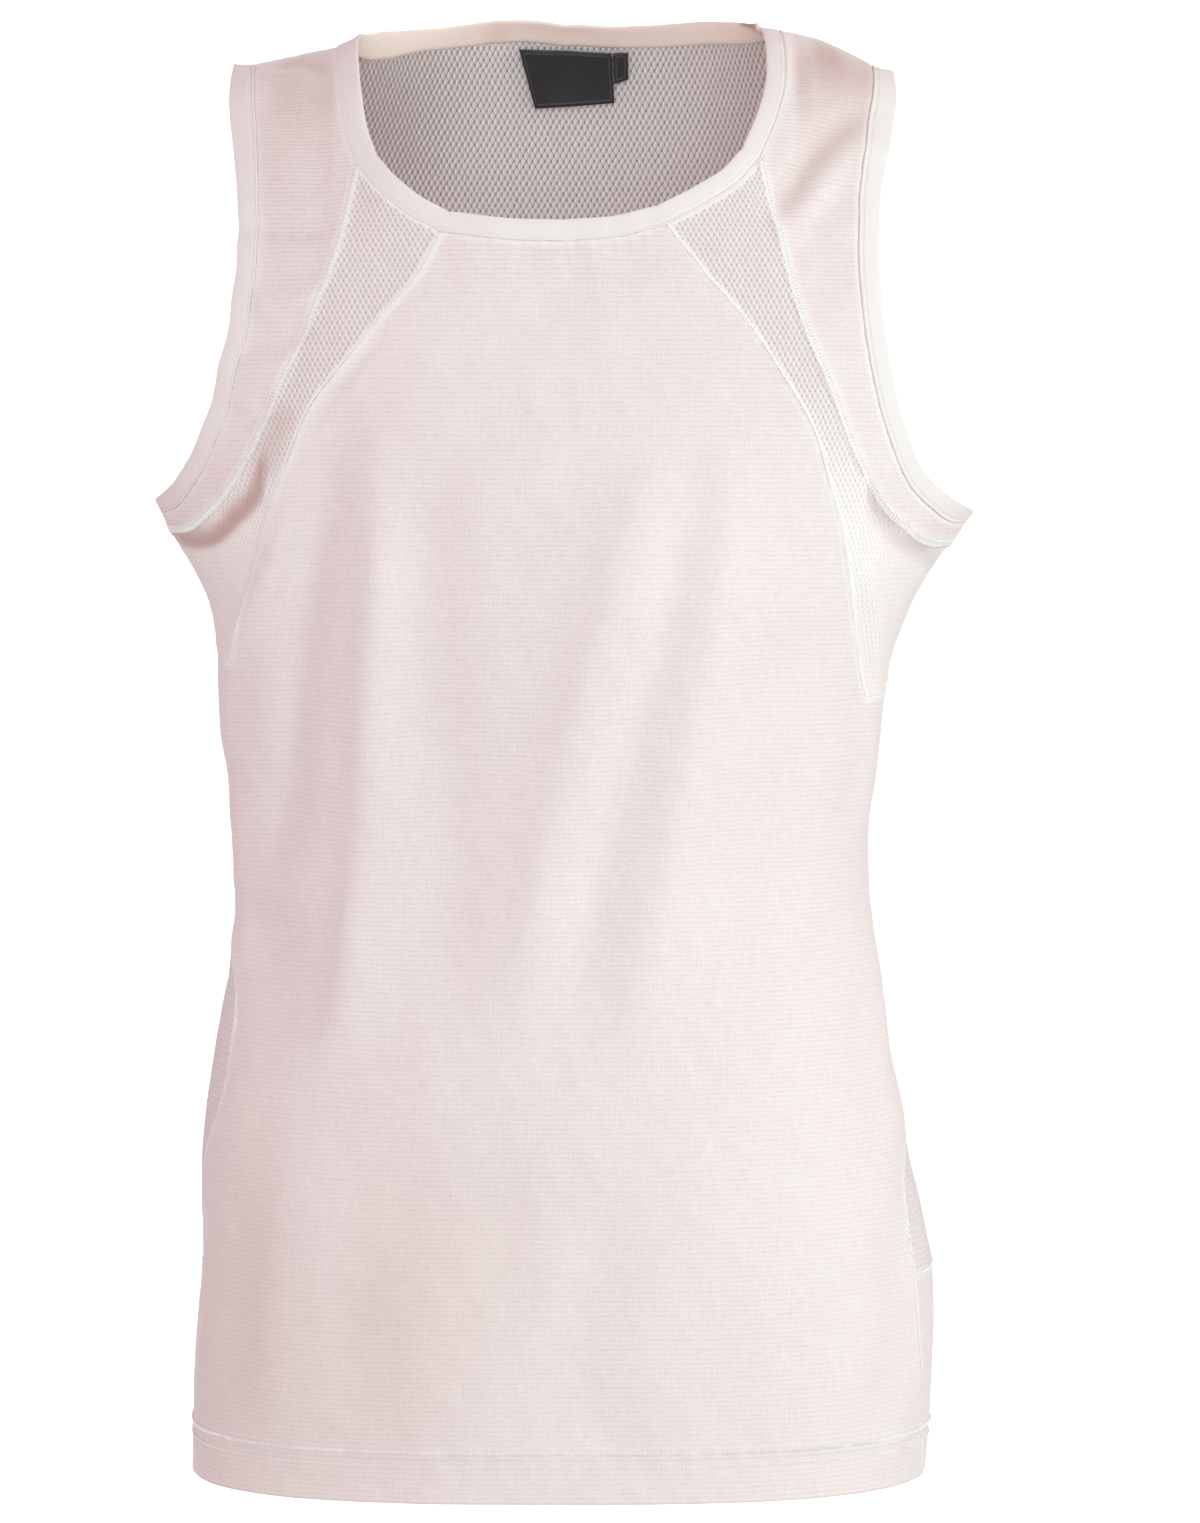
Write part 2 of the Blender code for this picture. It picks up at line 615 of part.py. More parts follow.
def back_columns():
    """Columns of the back, from strap to strap."""
    return 2 * SHOULDER_COLUMNS + BACK_NECK_COLUMNS


def band_top(right, left):
    """Places along the top of the band across the lower back."""
    return straight(left.band_side[-1], turned(right.band_side)[-1], back_columns())


def back_panel(right, left):
    """Mesh back, from the band up to the neck and the shoulder seams.

    By the sides the rows are spaced as the side lines are, and in the middle they are even.
    """
    edges = []
    for cut in (left, right):
        edges.append(
            turned(join(cut.body_side, cut.inset_side, cut.shoulder_side, cut.armhole_back[::-1]))
        )
    neck = join(left.neck_back, turned(right.neck_back)[::-1])
    top = join(left.ridge_back[::-1], neck, turned(right.ridge_back))
    foot = band_top(right, left)
    by_sides = patch(foot, top, *edges)
    even = patch(*edges, foot, top, hold=BACK_HOLD).swapaxes(0, 1)
    middle = np.sin(np.linspace(0, np.pi, len(foot)))[None, :, None] ** 2
    return panel("back_panel", [by_sides + middle * (even - by_sides)], MESH)


def back_hem_band(right, left):
    """Plain band across the lower back."""
    last = turned(right.band_side)
    foot = straight(left.band_side[0], last[0], back_columns())
    grid = patch(foot, band_top(right, left), left.band_side, last)
    return panel("back_hem_band", [grid], SHELL)


def neck_binding(right, left):
    """Binding round the neck: over the front, then back behind the neck."""
    front = join(
        right.neck_side, right.neck_inset, right.neck_centre,
        left.neck_centre[::-1], left.neck_inset[::-1], left.neck_side[::-1],
    )
    behind = join(left.neck_back, turned(right.neck_back)[::-1])
    loop = np.concatenate([front[:-1], behind[:-1]])
    points, _ = cloth_points(loop)
    share = np.clip((points[:, 1] - RIDGE_DEPTH) / BACK_NECK_TURN, 0, 1)
    share = share**2 * (3 - 2 * share)
    lean = BACK_NECK_LEAN + BACK_NECK_STAND * (points[:, 0] / NECK_HALF) ** 2
    width = BINDING_WIDTH + share * (BACK_NECK_WIDTH - BINDING_WIDTH)
    return binding("neck_binding", loop, BINDING, width, share * lean)


def armhole_binding(name, cut):
    """Binding round one armhole: down the front, then up behind."""
    loop = np.concatenate([cut.armhole_front[:-1], turned(cut.armhole_back[::-1])[:-1]])
    return binding(name, loop if cut.side == LEFT else loop[::-1], BINDING)


def build():
    """Clear the scene and make every piece."""
    for old in list(bpy.data.objects):
        bpy.data.objects.remove(old)
    right, left = Cut(RIGHT), Cut(LEFT)
    front_panel(right, left)
    inset("inset_right", right)
    inset("inset_left", left)
    shoulder("shoulder_right", right)
    shoulder("shoulder_left", left)
    back_panel(right, left)
    back_hem_band(right, left)
    neck_binding(right, left)
    armhole_binding("armhole_binding_right", right)
    armhole_binding("armhole_binding_left", left)
    label("neck_label", LABEL_CORNERS, LABEL_GRID, LABEL)
    label("size_tab", TAB_CORNERS, TAB_GRID, LABEL)


build()
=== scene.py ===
"""Dressed model of a running singlet, filled out as worn.

The garment's surface is an oval section at each height, closed over the shoulders by a quarter turn
to the shoulder ridge. A place on it is an angle round from the centre front and a rise up from the
hem. Every sewn piece is a grid of places with a wall and soft folds; a binding is a profile carried
round a closed seam; a stitch is a short arched thread laid along a line of places.

Lengths are in millimetres until a mesh is made. +X is the wearer's left, -Y the front, +Z up.
"""

import json
import logging
from dataclasses import dataclass
from enum import Enum
from typing import NamedTuple

import bpy
import numpy as np
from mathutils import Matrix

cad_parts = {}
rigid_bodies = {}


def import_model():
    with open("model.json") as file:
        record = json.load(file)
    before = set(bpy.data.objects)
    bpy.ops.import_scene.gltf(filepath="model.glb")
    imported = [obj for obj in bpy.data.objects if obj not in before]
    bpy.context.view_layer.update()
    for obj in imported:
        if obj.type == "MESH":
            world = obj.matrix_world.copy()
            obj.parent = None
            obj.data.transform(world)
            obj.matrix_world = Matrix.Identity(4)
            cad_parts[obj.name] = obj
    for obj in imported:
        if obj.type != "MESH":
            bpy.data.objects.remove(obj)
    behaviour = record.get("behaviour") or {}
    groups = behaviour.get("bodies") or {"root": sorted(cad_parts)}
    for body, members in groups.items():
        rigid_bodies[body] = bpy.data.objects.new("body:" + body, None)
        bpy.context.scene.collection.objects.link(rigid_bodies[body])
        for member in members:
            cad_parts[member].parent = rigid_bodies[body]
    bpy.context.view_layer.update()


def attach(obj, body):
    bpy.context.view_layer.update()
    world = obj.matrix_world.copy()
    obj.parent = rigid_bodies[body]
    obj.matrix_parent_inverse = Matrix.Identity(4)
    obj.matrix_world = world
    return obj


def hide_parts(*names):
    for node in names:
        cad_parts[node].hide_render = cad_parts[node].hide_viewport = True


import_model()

LOG = logging.getLogger("singlet")

Array = np.ndarray
Colour = tuple[float, float, float]
Point = tuple[float, float, float]
Piece = bpy.types.Object
Finish = bpy.types.Material
Line = tuple[Array, Array, Array]   # run, points and outward directions

MM = 0.001
SHOULDER_TOP = 600.0       # height of the origin over the hem
TURN = 2 * np.pi
MEAN_RADIUS = 150.0        # of the garment, where an angle stands for a length


class Side(Enum):
    """Side of the wearer, by the sign of X."""

    RIGHT = -1
    LEFT = 1


# ---------------------------------------------------------------- the cut, as tables
class Section(NamedTuple):
    """Oval at a height: half widths, depths in front and behind, and the power (2: ellipse)."""

    height: float
    right: float
    left: float
    front: float
    back: float
    power: float


SECTIONS = [
    Section(0, 157.0, 153.5, 121, 117, 2.80), Section(52, 156.0, 157.0, 118, 116, 2.80),
    Section(88, 153.0, 156.3, 116, 114, 2.75), Section(141, 152.5, 144.5, 112, 111, 2.60),
    Section(192, 145.0, 135.0, 108, 106, 2.45), Section(225, 138.5, 132.0, 106, 104, 2.35),
    Section(256, 137.0, 129.5, 105, 103, 2.30), Section(307, 142.5, 133.5, 110, 103, 2.30),
    Section(345, 146.0, 139.5, 115, 104, 2.25), Section(370, 151.5, 150.0, 117, 105, 2.15),
    Section(384, 158.5, 158.8, 116, 105.5, 2.07), Section(398, 167.5, 169.5, 115, 106, 2.00),
    Section(425, 173.0, 175.0, 110, 107, 2.20), Section(460, 174.0, 176.0, 102, 107, 2.50),
    Section(510, 173.0, 175.0, 89, 104, 2.60), Section(560, 172.0, 174.0, 78, 98, 2.60),
    Section(610, 171.0, 173.0, 70, 90, 2.60),
]

RIDGE = [  # distance across, height of the shoulder ridge
    (-180, 577), (-140, 590.5), (-125, 594), (-110, 597.5), (-96, 600.4), (-91.5, 602.2),
    (-87, 603.7), (-60, 630), (0, 655), (60, 632), (87, 607.8), (96, 606.1), (110, 602.8),
    (125, 595.8), (140, 588.5), (180, 572),
]

# Seams seen from the front: (across, height) on the wearer's right, then on the left. A height over
# the shoulder ridge, such as 999, stands for the ridge itself.
NECK_SIDE = [
    (95.0, 999, 92.0, 999), (93.8, 588, 94.2, 592), (92.0, 575, 93.5, 581), (89.5, 561, 90.0, 568),
    (84.5, 547, 82.3, 549.5),
]
NECK_INSET = [
    (84.5, 547, 82.3, 549.5), (75.5, 536.5, 71.6, 538), (64.0, 527, 57.0, 529),
    (49.5, 519, 42.8, 521.5),
]
NECK_CENTRE = [(49.5, 519, 42.8, 521.5), (25.0, 515.8, 24.0, 517), (0, 515, 0, 515)]
OUTER_SEAM = [
    (84.5, 547, 82.3, 549.5), (91.0, 517.5, 88.8, 523), (99.5, 494, 93.8, 503),
    (107.0, 475, 98.5, 486), (118.5, 450.5, 110.0, 458), (131.0, 425, 121.0, 430),
    (140.5, 411.5, 133.0, 407.5), (149.5, 402.5, 146.0, 396),
]
INNER_SEAM = [
    (49.5, 519, 42.8, 521.5), (68.0, 491, 57.8, 503), (88.0, 466.5, 73.0, 485.5),
    (102.5, 448, 89.5, 461), (112.5, 425, 103.0, 437), (120.8, 399, 111.0, 411),
    (127.8, 370, 117.5, 381), (133.6, 341.5, 125.2, 327),
]
ARMHOLE_FRONT = [
    (130.5, 999, 131.3, 999), (129.0, 577, 130.0, 578), (127.3, 558, 127.0, 560),
    (126.0, 533, 123.5, 525), (126.8, 500, 123.0, 500), (130.7, 475, 125.5, 475),
    (138.4, 446, 132.5, 442), (146.4, 426.5, 143.3, 416), (157.0, 410, 156.0, 403.5),
]
ARMHOLE_BACK = [
    (130.5, 999, 131.3, 999), (129.0, 572, 129.0, 572), (126.5, 540, 126.0, 538),
    (126.5, 505, 125.5, 505), (131.5, 470, 130.5, 468), (141.5, 435, 141.0, 432),
    (156.0, 411, 156.0, 406),
]
NECK_BACK = [
    (95.0, 999, 92.0, 999), (88.0, 598.3, 85.0, 605), (67.5, 601, 61.5, 605.4),
    (42.0, 605.2, 42.5, 604.7), (30.0, 606.8, 27.0, 604.8), (0, 605.6, 0, 605.6),
]
NECK_STAND = [  # distance across, width of the neck binding behind the shoulder ridge
    (-95, 7.8), (-92.5, 7.4), (-90.6, 8.6), (-87, 10.3), (-81.6, 12.0), (-75, 11.3), (-67, 9.9),
    (-59, 9.0), (-50, 9.2), (-40, 10.0), (40, 10.0), (67, 9.4), (79, 8.6), (84, 7.3), (87, 6.7),
    (89.5, 6.6), (92, 7.4),
]
SIDE_SEAM = [  # height, degrees round from the centre front on the right and on the left
    (0, 92, 70), (60, 90, 63), (86, 86, 62), (125, 75, 66), (152, 65, 78), (184, 64, 87),
    (222, 76, 95), (256, 90, 97), (300, 95, 95), (335, 93, 90), (358, 90, 90), (410, 90, 90),
]


class Level(NamedTuple):
    """A value on the wearer's right and left."""

    right: float
    left: float

    def of(self, side: Side) -> float:
        """The value of one side."""
        return self.right if side is Side.RIGHT else self.left


INSET_CORNER = Level(358, 334)         # where the inset leaves the side seam towards its point
SHOULDER_CORNER = Level(396.5, 391.5)  # where the shoulder panel starts on the side seam
UNDERARM = Level(403, 399)             # lowest place of the armhole seam
WING_FOOT = Level(66, 62)              # degrees of the line below the inset's point, at the hem
BAND_HEIGHT = 86.0
HEM_DEPTH = 20.0
HEM_FURROW = 17.0                      # height of the furrow between the hem's two rows
HEM_PUCKERS = 17.5                     # height where the hem puckers most
FINE_HEIGHT = 24.0                     # the grids' rows are closer up to here
SEAM_REACH = 99.0                      # the greatest distance to a seam that is told apart
# Corners seen from the front: the wearer's top right, top left, bottom right and bottom left.
LABEL_CORNERS = ((-19.7, 605.4), (21.0, 604.0), (-12.7, 580.5), (22.2, 583.0))
TAB_CORNERS = ((21.8, 604.0), (28.3, 604.0), (22.4, 591.2), (28.3, 593.0))

# Grid steps along each stretch of a seam, and across each piece.
SEAM_STEPS = 114
NECK_SIDE_STEPS = 42
CENTRE_STEPS = 72
INSET_STEPS = 18
WING_STEPS = 18
SHOULDER_STEPS = 24
BACK_NECK_STEPS = 42
BODY_STEPS = 90
HEM_STEPS = 22
BAND_STEPS = 26
ARMHOLE_BACK_STEPS = 90


# ---------------------------------------------------------------- small numeric helpers
def flow(known: Array, values: Array, at: Array) -> Array:
    """Smooth curve through (known, values): a cubic Hermite with the slopes of the neighbours.

    Args:
        known: rising places of the knots.
        values: the curve's values there.
        at: where it is read; held to the first and last knot.

    Returns:
        The curve's values at `at`.
    """
    known, values = np.asarray(known, float), np.asarray(values, float)
    at = np.clip(at, known[0], known[-1])
    slope = np.gradient(values, known)
    i = np.clip(np.searchsorted(known, at, side="right") - 1, 0, len(known) - 2)
    step = known[i + 1] - known[i]
    s = (at - known[i]) / step
    return (
        (2 * s**3 - 3 * s**2 + 1) * values[i]
        + (s**3 - 2 * s**2 + s) * step * slope[i]
        + (3 * s**2 - 2 * s**3) * values[i + 1]
        + (s**3 - s**2) * step * slope[i + 1]
    )


def soft_step(low: float, high: float, value: Array) -> Array:
    """0 up to low, 1 from high on, and 3s^2 - 2s^3 between."""
    s = np.clip((value - low) / (high - low), 0, 1)
    return s * s * (3 - 2 * s)


def unit(vectors: Array) -> Array:
    """Vectors at length one."""
    return vectors / np.maximum(np.linalg.norm(vectors, axis=-1, keepdims=True), 1e-12)


def run_of(points: Array) -> Array:
    """Distance run along a line of points, from 0 at the first."""
    return np.concatenate([[0], np.cumsum(np.linalg.norm(np.diff(points, axis=0), axis=1))])


def ripple(u: Array, v: Array, length: float, seed: int, waves: int = 7) -> Array:
    """Uneven ripples: the mean of a few plane waves with seeded directions, lengths and phases.

    Args:
        u: distance across the cloth.
        v: distance up the cloth.
        length: middle wave length.
        seed: seed of the draws.
        waves: how many waves are added.

    Returns:
        Heights of about -1 to 1.
    """
    rng = np.random.default_rng(seed)
    way = rng.uniform(0, TURN, waves)
    pace = TURN / (length * rng.uniform(0.7, 1.5, waves))
    phase = rng.uniform(0, TURN, waves)
    run = u[..., None] * np.cos(way) + v[..., None] * np.sin(way)
    return np.sin(run * pace + phase).sum(axis=-1) / np.sqrt(waves)


# ---------------------------------------------------------------- folds
@dataclass(frozen=True)
class Fold:
    """Soft ridge (height over 0) or trough along a line seen from the front.

    The line's places are (across, height). Its cross profile is exp(-|aside/width|^power / 2), with
    a width of its own on each flank, and it dies away over the last part of its run at each end.
    It may also carry painted shade: a darker colour, strongest at its middle, standing in for the shade
    in its hollow.
    """

    line: tuple[tuple[float, float], ...]
    right: float
    left: float
    height: float
    power: float = 2.0
    end: float = 0.28
    # share of painted shade at the fold's middle
    tint: float = 0.0

    def lift(self, x: Array, z: Array) -> Array:
        """How far the fold lifts the cloth.

        Args:
            x: distance across.
            z: height.

        Returns:
            The lift at each point.
        """
        knots = np.array(self.line, float)
        steep = np.ptp(knots[:, 1]) >= np.ptp(knots[:, 0])
        knots = knots[:, ::-1] if steep else knots
        run, other = (z, x) if steep else (x, z)
        knots = knots[np.argsort(knots[:, 0])]
        middle = flow(knots[:, 0], knots[:, 1], run)
        slope = flow(knots[:, 0], knots[:, 1], run + 1) - flow(knots[:, 0], knots[:, 1], run - 1)
        aside = (other - middle) / np.sqrt(1 + (slope / 2) ** 2)
        share = (run - knots[0, 0]) / (knots[-1, 0] - knots[0, 0])
        ends = soft_step(0, self.end, np.minimum(share, 1 - share))
        width = np.where(aside < 0, self.right, self.left)
        return self.height * ends * np.exp(-(np.abs(aside / width) ** self.power) / 2)


# The big folds come first, then the troughs under the arms and the painted shade there, over
# the lower front, at the hem and on the shoulders, then the shoulders' small creases.
FRONT_FOLDS = [
    Fold(
        ((-76, 446), (-75, 369), (-78, 328), (-81, 266), (-86, 225), (-92, 190), (-106, 150)),
        6.5, 8.8, 6.6, 1.7,
    ),
    Fold(((-84, 470), (-107, 384), (-113, 327), (-118, 285), (-128, 225)), 6.2, 9.4, -6.6),
    Fold(((-108, 434), (-118, 385), (-140, 330), (-134, 270)), 4.3, 4.9, 4.8),
    Fold(((42, 447), (22, 373), (3, 310), (-9, 250), (-24, 175)), 8.3, 14.4, 4.3, 1.8),
    Fold(((57, 444), (45, 373), (29, 307), (12, 238), (-1, 165)), 7.2, 6.8, -1.7),
    Fold(((73, 445), (63, 369), (52, 307), (40, 246), (24, 170)), 9.9, 9.0, 4.3, 1.8),
    Fold(((-50, 440), (-57, 369), (-53, 328), (-46, 280), (-55, 180)), 11.4, 10.4, -3.8),
    Fold(((-95, 112), (-33, 112), (45, 108)), 18.2, 16.1, -2.7),
    Fold(((-107, 165), (-112, 89), (-115, 8)), 8.8, 20.4, 3.8),
    Fold(((12, 104), (5, 60), (25, 6)), 16.1, 10.0, -2.0),
    Fold(((60, 112), (66, 60), (72, 6)), 9.1, 9.0, -0.5),
    Fold(((103, 122), (105, 60), (106, 6)), 8.0, 8.0, -0.4),
    Fold(((118, 400), (129, 360), (129, 320), (125, 260)), 3.0, 5.0, 3.4),
    Fold(((-60, 130), (-55, 60), (-45, 10)), 18.0, 18.2, 1.1),
    Fold(((0, 440), (-18, 380), (-25, 320), (-30, 260)), 17.4, 15.8, -1.8),
    Fold(((95, 380), (87, 320), (77, 260), (66, 200)), 11.6, 9.0, -2.2),
    Fold(((-20, 490), (-25, 460), (-30, 420)), 14.8, 15.1, -0.5),
    Fold(((-132, 250), (-123, 215), (-127, 180)), 8.1, 15.5, -5.2),
    Fold(((-140, 300), (-137, 250), (-141, 200)), 8.0, 5.1, 6.0),
    Fold(((-135, 140), (-138, 80), (-143, 12)), 6.9, 8.3, -3.0),
    Fold(((130, 240), (133, 180), (140, 120)), 4.7, 8.1, 3.9),
    Fold(((138, 120), (141, 70), (135, 12)), 8.1, 6.3, -3.0),
    Fold(
        (
            (-170, 394), (-160, 391.5), (-151, 391), (-143.8, 393), (-139.3, 396.6), (-134.8, 401),
            (-130, 405.5), (-125.6, 411.5), (-121.5, 419),
        ),
        2.0, 4.4, -3.0, 2.6, end=0.05, tint=0.78,
    ),
    Fold(((-126, 413), (-122, 424), (-117.5, 437), (-112, 452)), 4.5, 4.0, -1.4, tint=0.30),
    Fold(
        (
            (162, 382.3), (152, 384), (145.5, 387.6), (140, 390.6), (134.2, 397), (128.6, 404.6),
            (124.6, 412),
        ),
        2.8, 3.4, -2.4, 2.4, end=0.08, tint=0.26,
    ),
    Fold(
        ((-64, 488), (-84, 464), (-98, 446), (-108.3, 423), (-116.8, 397), (-124, 368)),
        1.3, 1.7, -0.9, end=0.2,
    ),
    Fold(((-100, 92), (-50, 96), (5, 88)), 42, 42, -0.5, end=0.25, tint=0.12),
    Fold(((-230, 66), (-125, 72), (-20, 62)), 56, 50, -0.1, end=0.3, tint=0.11),
    Fold(((136, 588), (121, 591), (104, 596)), 9, 9, -0.2, end=0.15, tint=0.30),
    Fold(((-230, 12), (0, 8), (190, 14)), 14, 34, -0.1, end=0.3, tint=0.045),
    Fold(((-124, 579), (-108, 578), (-93, 573)), 8, 8, -0.2, end=0.15, tint=0.14),
    Fold(((136, 566), (116, 578), (96, 586)), 20, 24, -0.4, end=0.06, tint=0.20),
    Fold(((132, 500), (112, 500), (94, 500)), 24, 24, -0.1, end=0.06, tint=0.06),
    Fold(((-136, 558), (-114, 563), (-93, 568)), 40, 30, -0.1, end=0.06, tint=0.06),
    Fold(((126, 578), (102, 550), (84, 520)), 4.7, 4.7, -4.8, tint=0.18),
    Fold(((137, 560), (117, 540), (104, 520)), 3.6, 8.0, -1.7),
    Fold(((125, 548), (106, 522), (94, 500)), 4.1, 12.0, -2.2),
    Fold(((131, 523), (115, 508), (98, 500)), 4.7, 4.7, -1.1),
    Fold(((131, 505), (115, 500), (98, 490)), 4.9, 4.7, -0.8),
    Fold(((133, 462), (122, 462), (108, 465)), 5.2, 5.0, -0.4),
    Fold(((120, 595), (105, 597), (92, 585)), 7.2, 4.1, -2.5, tint=0.22),
    Fold(((-130, 582), (-112, 566), (-92, 546)), 5.4, 5.4, -0.9),
    Fold(((-132, 560), (-112, 552), (-92, 530)), 4.0, 4.7, -0.8),
    Fold(((-132, 540), (-108, 535), (-88, 532)), 4.3, 4.9, -0.6),
    Fold(((-132, 524), (-108, 520), (-90, 522)), 3.5, 5.1, -3.0),
    Fold(((-132, 507), (-108, 503), (-92, 510)), 4.8, 5.8, -1.9),
    Fold(((-132, 492), (-115, 490), (-97, 495)), 5.2, 3.5, 1.2),
    Fold(((-134, 476), (-118, 474), (-100, 480)), 3.1, 5.5, -1.7),
    Fold(((-140, 460), (-124, 462), (-108, 464)), 3.8, 4.3, 1.8),
    Fold(((-145, 444), (-132, 442), (-116, 450)), 5.2, 4.0, -1.2),
    Fold(((-125, 591), (-110, 593), (-94, 589)), 2.5, 2.6, -4.0, tint=0.2),
    Fold(((-37, 512), (-18, 508), (0, 512)), 2.5, 3, -0.8),
    Fold(((12, 510), (34, 508), (58, 516)), 2.5, 3, -0.8),
]
BACK_FOLDS = [
    Fold(((-70, 500), (-56, 340), (-52, 190)), 12, 12, 4.2),
    Fold(((-32, 470), (-40, 310), (-40, 150)), 13, 13, -3.6),
    Fold(((28, 480), (20, 340), (6, 200)), 13, 13, 3.2),
    Fold(((72, 500), (60, 330), (60, 170)), 13, 13, -4.0),
    Fold(((104, 430), (100, 310), (92, 190)), 11, 11, 3.4),
    Fold(((-108, 420), (-106, 310), (-98, 200)), 11, 11, -3.0),
    Fold(((-60, 240), (0, 243), (60, 236)), 16, 16, -3.4),
    Fold(((-84, 120), (-88, 60), (-92, 4)), 12, 12, 3.0),
    Fold(((-20, 110), (-17, 60), (-12, 4)), 12, 12, -2.8),
    Fold(((58, 120), (64, 60), (66, 4)), 12, 12, 2.8),
    Fold(((-128, 430), (-110, 446), (-96, 470)), 9, 9, -2.8),
    Fold(((128, 425), (110, 442), (98, 468)), 9, 9, -2.8),
]
NECK_CREASE_SHADOWS = [  # painted shadows of creases in the lining of the neck binding beside the shoulder ridge
    Fold(((74.5, 613.5), (82, 609.8), (90, 604.5)), 0.8, 2.2, 1.0, end=0.15, tint=0.9),
    Fold(((-94, 596), (-92.5, 603), (-88, 610)), 1.6, 1.6, 1.0, end=0.2, tint=0.75),
    Fold(((-36, 606), (-30, 609), (-22, 612)), 4.0, 4.0, 1.0, tint=0.16),
]


# ---------------------------------------------------------------- the garment's surface
@dataclass(frozen=True)
class Form:
    """The surface that every piece lies on, and its folds."""

    cap_start: float = 500.0      # height where the shoulders begin to close
    ridge_nominal: float = 605.0  # height that the sections are read up to, at the ridge
    ridge_depth: float = 8.0      # the ridge lies this far behind the middle
    cap_travel: float = 120.0     # the part of the rise that the quarter turn takes
    restless: float = 0.22        # height of the small ripples all over the cloth
    fade: float = 3.0             # folds are whole where the cosine of the angle is over 1/fade
    front_folds: tuple[Fold, ...] = tuple(FRONT_FOLDS)
    back_folds: tuple[Fold, ...] = tuple(BACK_FOLDS)

    def ridge(self, across: Array) -> Array:
        """Height of the shoulder ridge at a distance across."""
        table = np.array(RIDGE, float)
        return flow(table[:, 0], table[:, 1], across)

    def section(self, height: Array) -> tuple[Array, ...]:
        """Half width, centre, front depth, back depth and power of the oval at a height."""
        table = np.array(SECTIONS, float)
        right, left, front, back, power = (flow(table[:, 0], c, height) for c in table[:, 1:].T)
        return (right + left) / 2, (left - right) / 2, front, back, power

    def closing(self, rise: Array) -> tuple[Array, Array]:
        """Turn over the shoulder, 0 to a quarter circle, and the height to read the section at."""
        turn = np.clip((rise - self.cap_start) / self.cap_travel, 0, 1) * np.pi / 2
        over = self.cap_start + (self.ridge_nominal - self.cap_start) * np.sin(turn)
        return turn, np.where(rise <= self.cap_start, rise, over)

    def smooth(self, angle: Array, rise: Array) -> Array:
        """Points of the unfolded garment.

        The oval is x = half·reach·sin, y = -depth·reach·cos, where reach is the superellipse's
        (|sin|^n + |cos|^n)^(-1/n); over the shoulders y shrinks by the cosine of the turn towards
        the ridge and z rises by its sine.

        Args:
            angle: angle round from the centre front.
            rise: rise up from the hem.

        Returns:
            Points, with x, y, z last.
        """
        turn, read = self.closing(rise)
        half, centre, front, back, power = self.section(read)
        sine, cosine = np.sin(angle), np.cos(angle)
        reach = (np.abs(sine) ** power + np.abs(cosine) ** power) ** (-1 / power)
        x = centre + half * reach * sine
        body_y = np.where(cosine > 0, -front, -back) * reach * cosine
        capped = rise > self.cap_start
        shift = np.where(capped, self.ridge_depth, 0.0)
        y = shift + (body_y - shift) * np.cos(turn)
        top = self.cap_start + (self.ridge(x) - self.cap_start) * np.sin(turn)
        return np.stack([x, y, np.where(capped, top, rise)], axis=-1)

    def relief(self, points: Array, angle: Array, rise: Array) -> Array:
        """How far folds and small ripples lift the cloth at each point."""
        turn, _ = self.closing(rise)
        x, z = points[..., 0], points[..., 2]
        total = np.zeros(points.shape[:-1])
        for folds, facing in ((self.front_folds, 1), (self.back_folds, -1)):
            fade = np.clip(facing * np.cos(angle) * self.fade, 0, 1) * np.cos(turn) ** 0.5
            total += fade * sum(fold.lift(x, z) for fold in folds)
        lay = angle * MEAN_RADIUS
        small = ripple(lay, rise * 0.6, 34.0, 5) + 0.5 * ripple(lay, rise, 15.0, 11)
        return total + self.restless * small

    def tinted(self, points: Array, angle: Array) -> Array:
        """How much painted shade the cloth takes at each point, from the front's folds."""
        x, z = points[..., 0], points[..., 2]
        folds = [fold for fold in self.front_folds if fold.tint > 0]
        share = sum(fold.lift(x, z) * (fold.tint / fold.height) for fold in folds)
        return share * np.clip(np.cos(angle) * self.fade + 0.5, 0, 1)

    def cloth(self, places: Array) -> tuple[Array, Array]:
        """Points and outward directions of the folded cloth.

        Args:
            places: (angle, rise) rows.

        Returns:
            The points and the unit outward directions of the unfolded surface there.
        """
        angle, rise = places[..., 0], places[..., 1]
        step, lift = 1e-3, 0.25
        points = self.smooth(angle, rise)
        sideways = self.smooth(angle + step, rise) - self.smooth(angle - step, rise)
        low = np.minimum(rise, self.cap_start + self.cap_travel - lift)
        up = self.smooth(angle, low + lift) - self.smooth(angle, low - lift)
        outward = unit(np.cross(sideways, up))
        return points + outward * self.relief(points, angle, rise)[..., None], outward

    def place_of(self, across: Array, height: Array, behind: bool = False) -> Array:
        """Places seen from the front at a distance across and a height.

        Args:
            across: distance from the centre line.
            height: height over the hem; over the ridge it stands for the ridge.
            behind: whether the place is on the back.

        Returns:
            (angle, rise) rows.
        """
        across = np.asarray(across, float)
        top = self.ridge(across)
        height = np.minimum(height, top)
        share = np.clip((height - self.cap_start) / (top - self.cap_start), 0, 1)
        over = self.cap_start + self.cap_travel * np.arcsin(share) / (np.pi / 2)
        rise = np.where(height <= self.cap_start, height, over)
        half, centre, _, _, power = self.section(self.closing(rise)[1])
        share = np.clip((across - centre) / half, -1, 1)
        angle = np.arctan2(share, (1 - np.abs(share) ** power) ** (1 / power))
        return np.stack([np.pi - angle if behind else angle, rise], axis=-1)


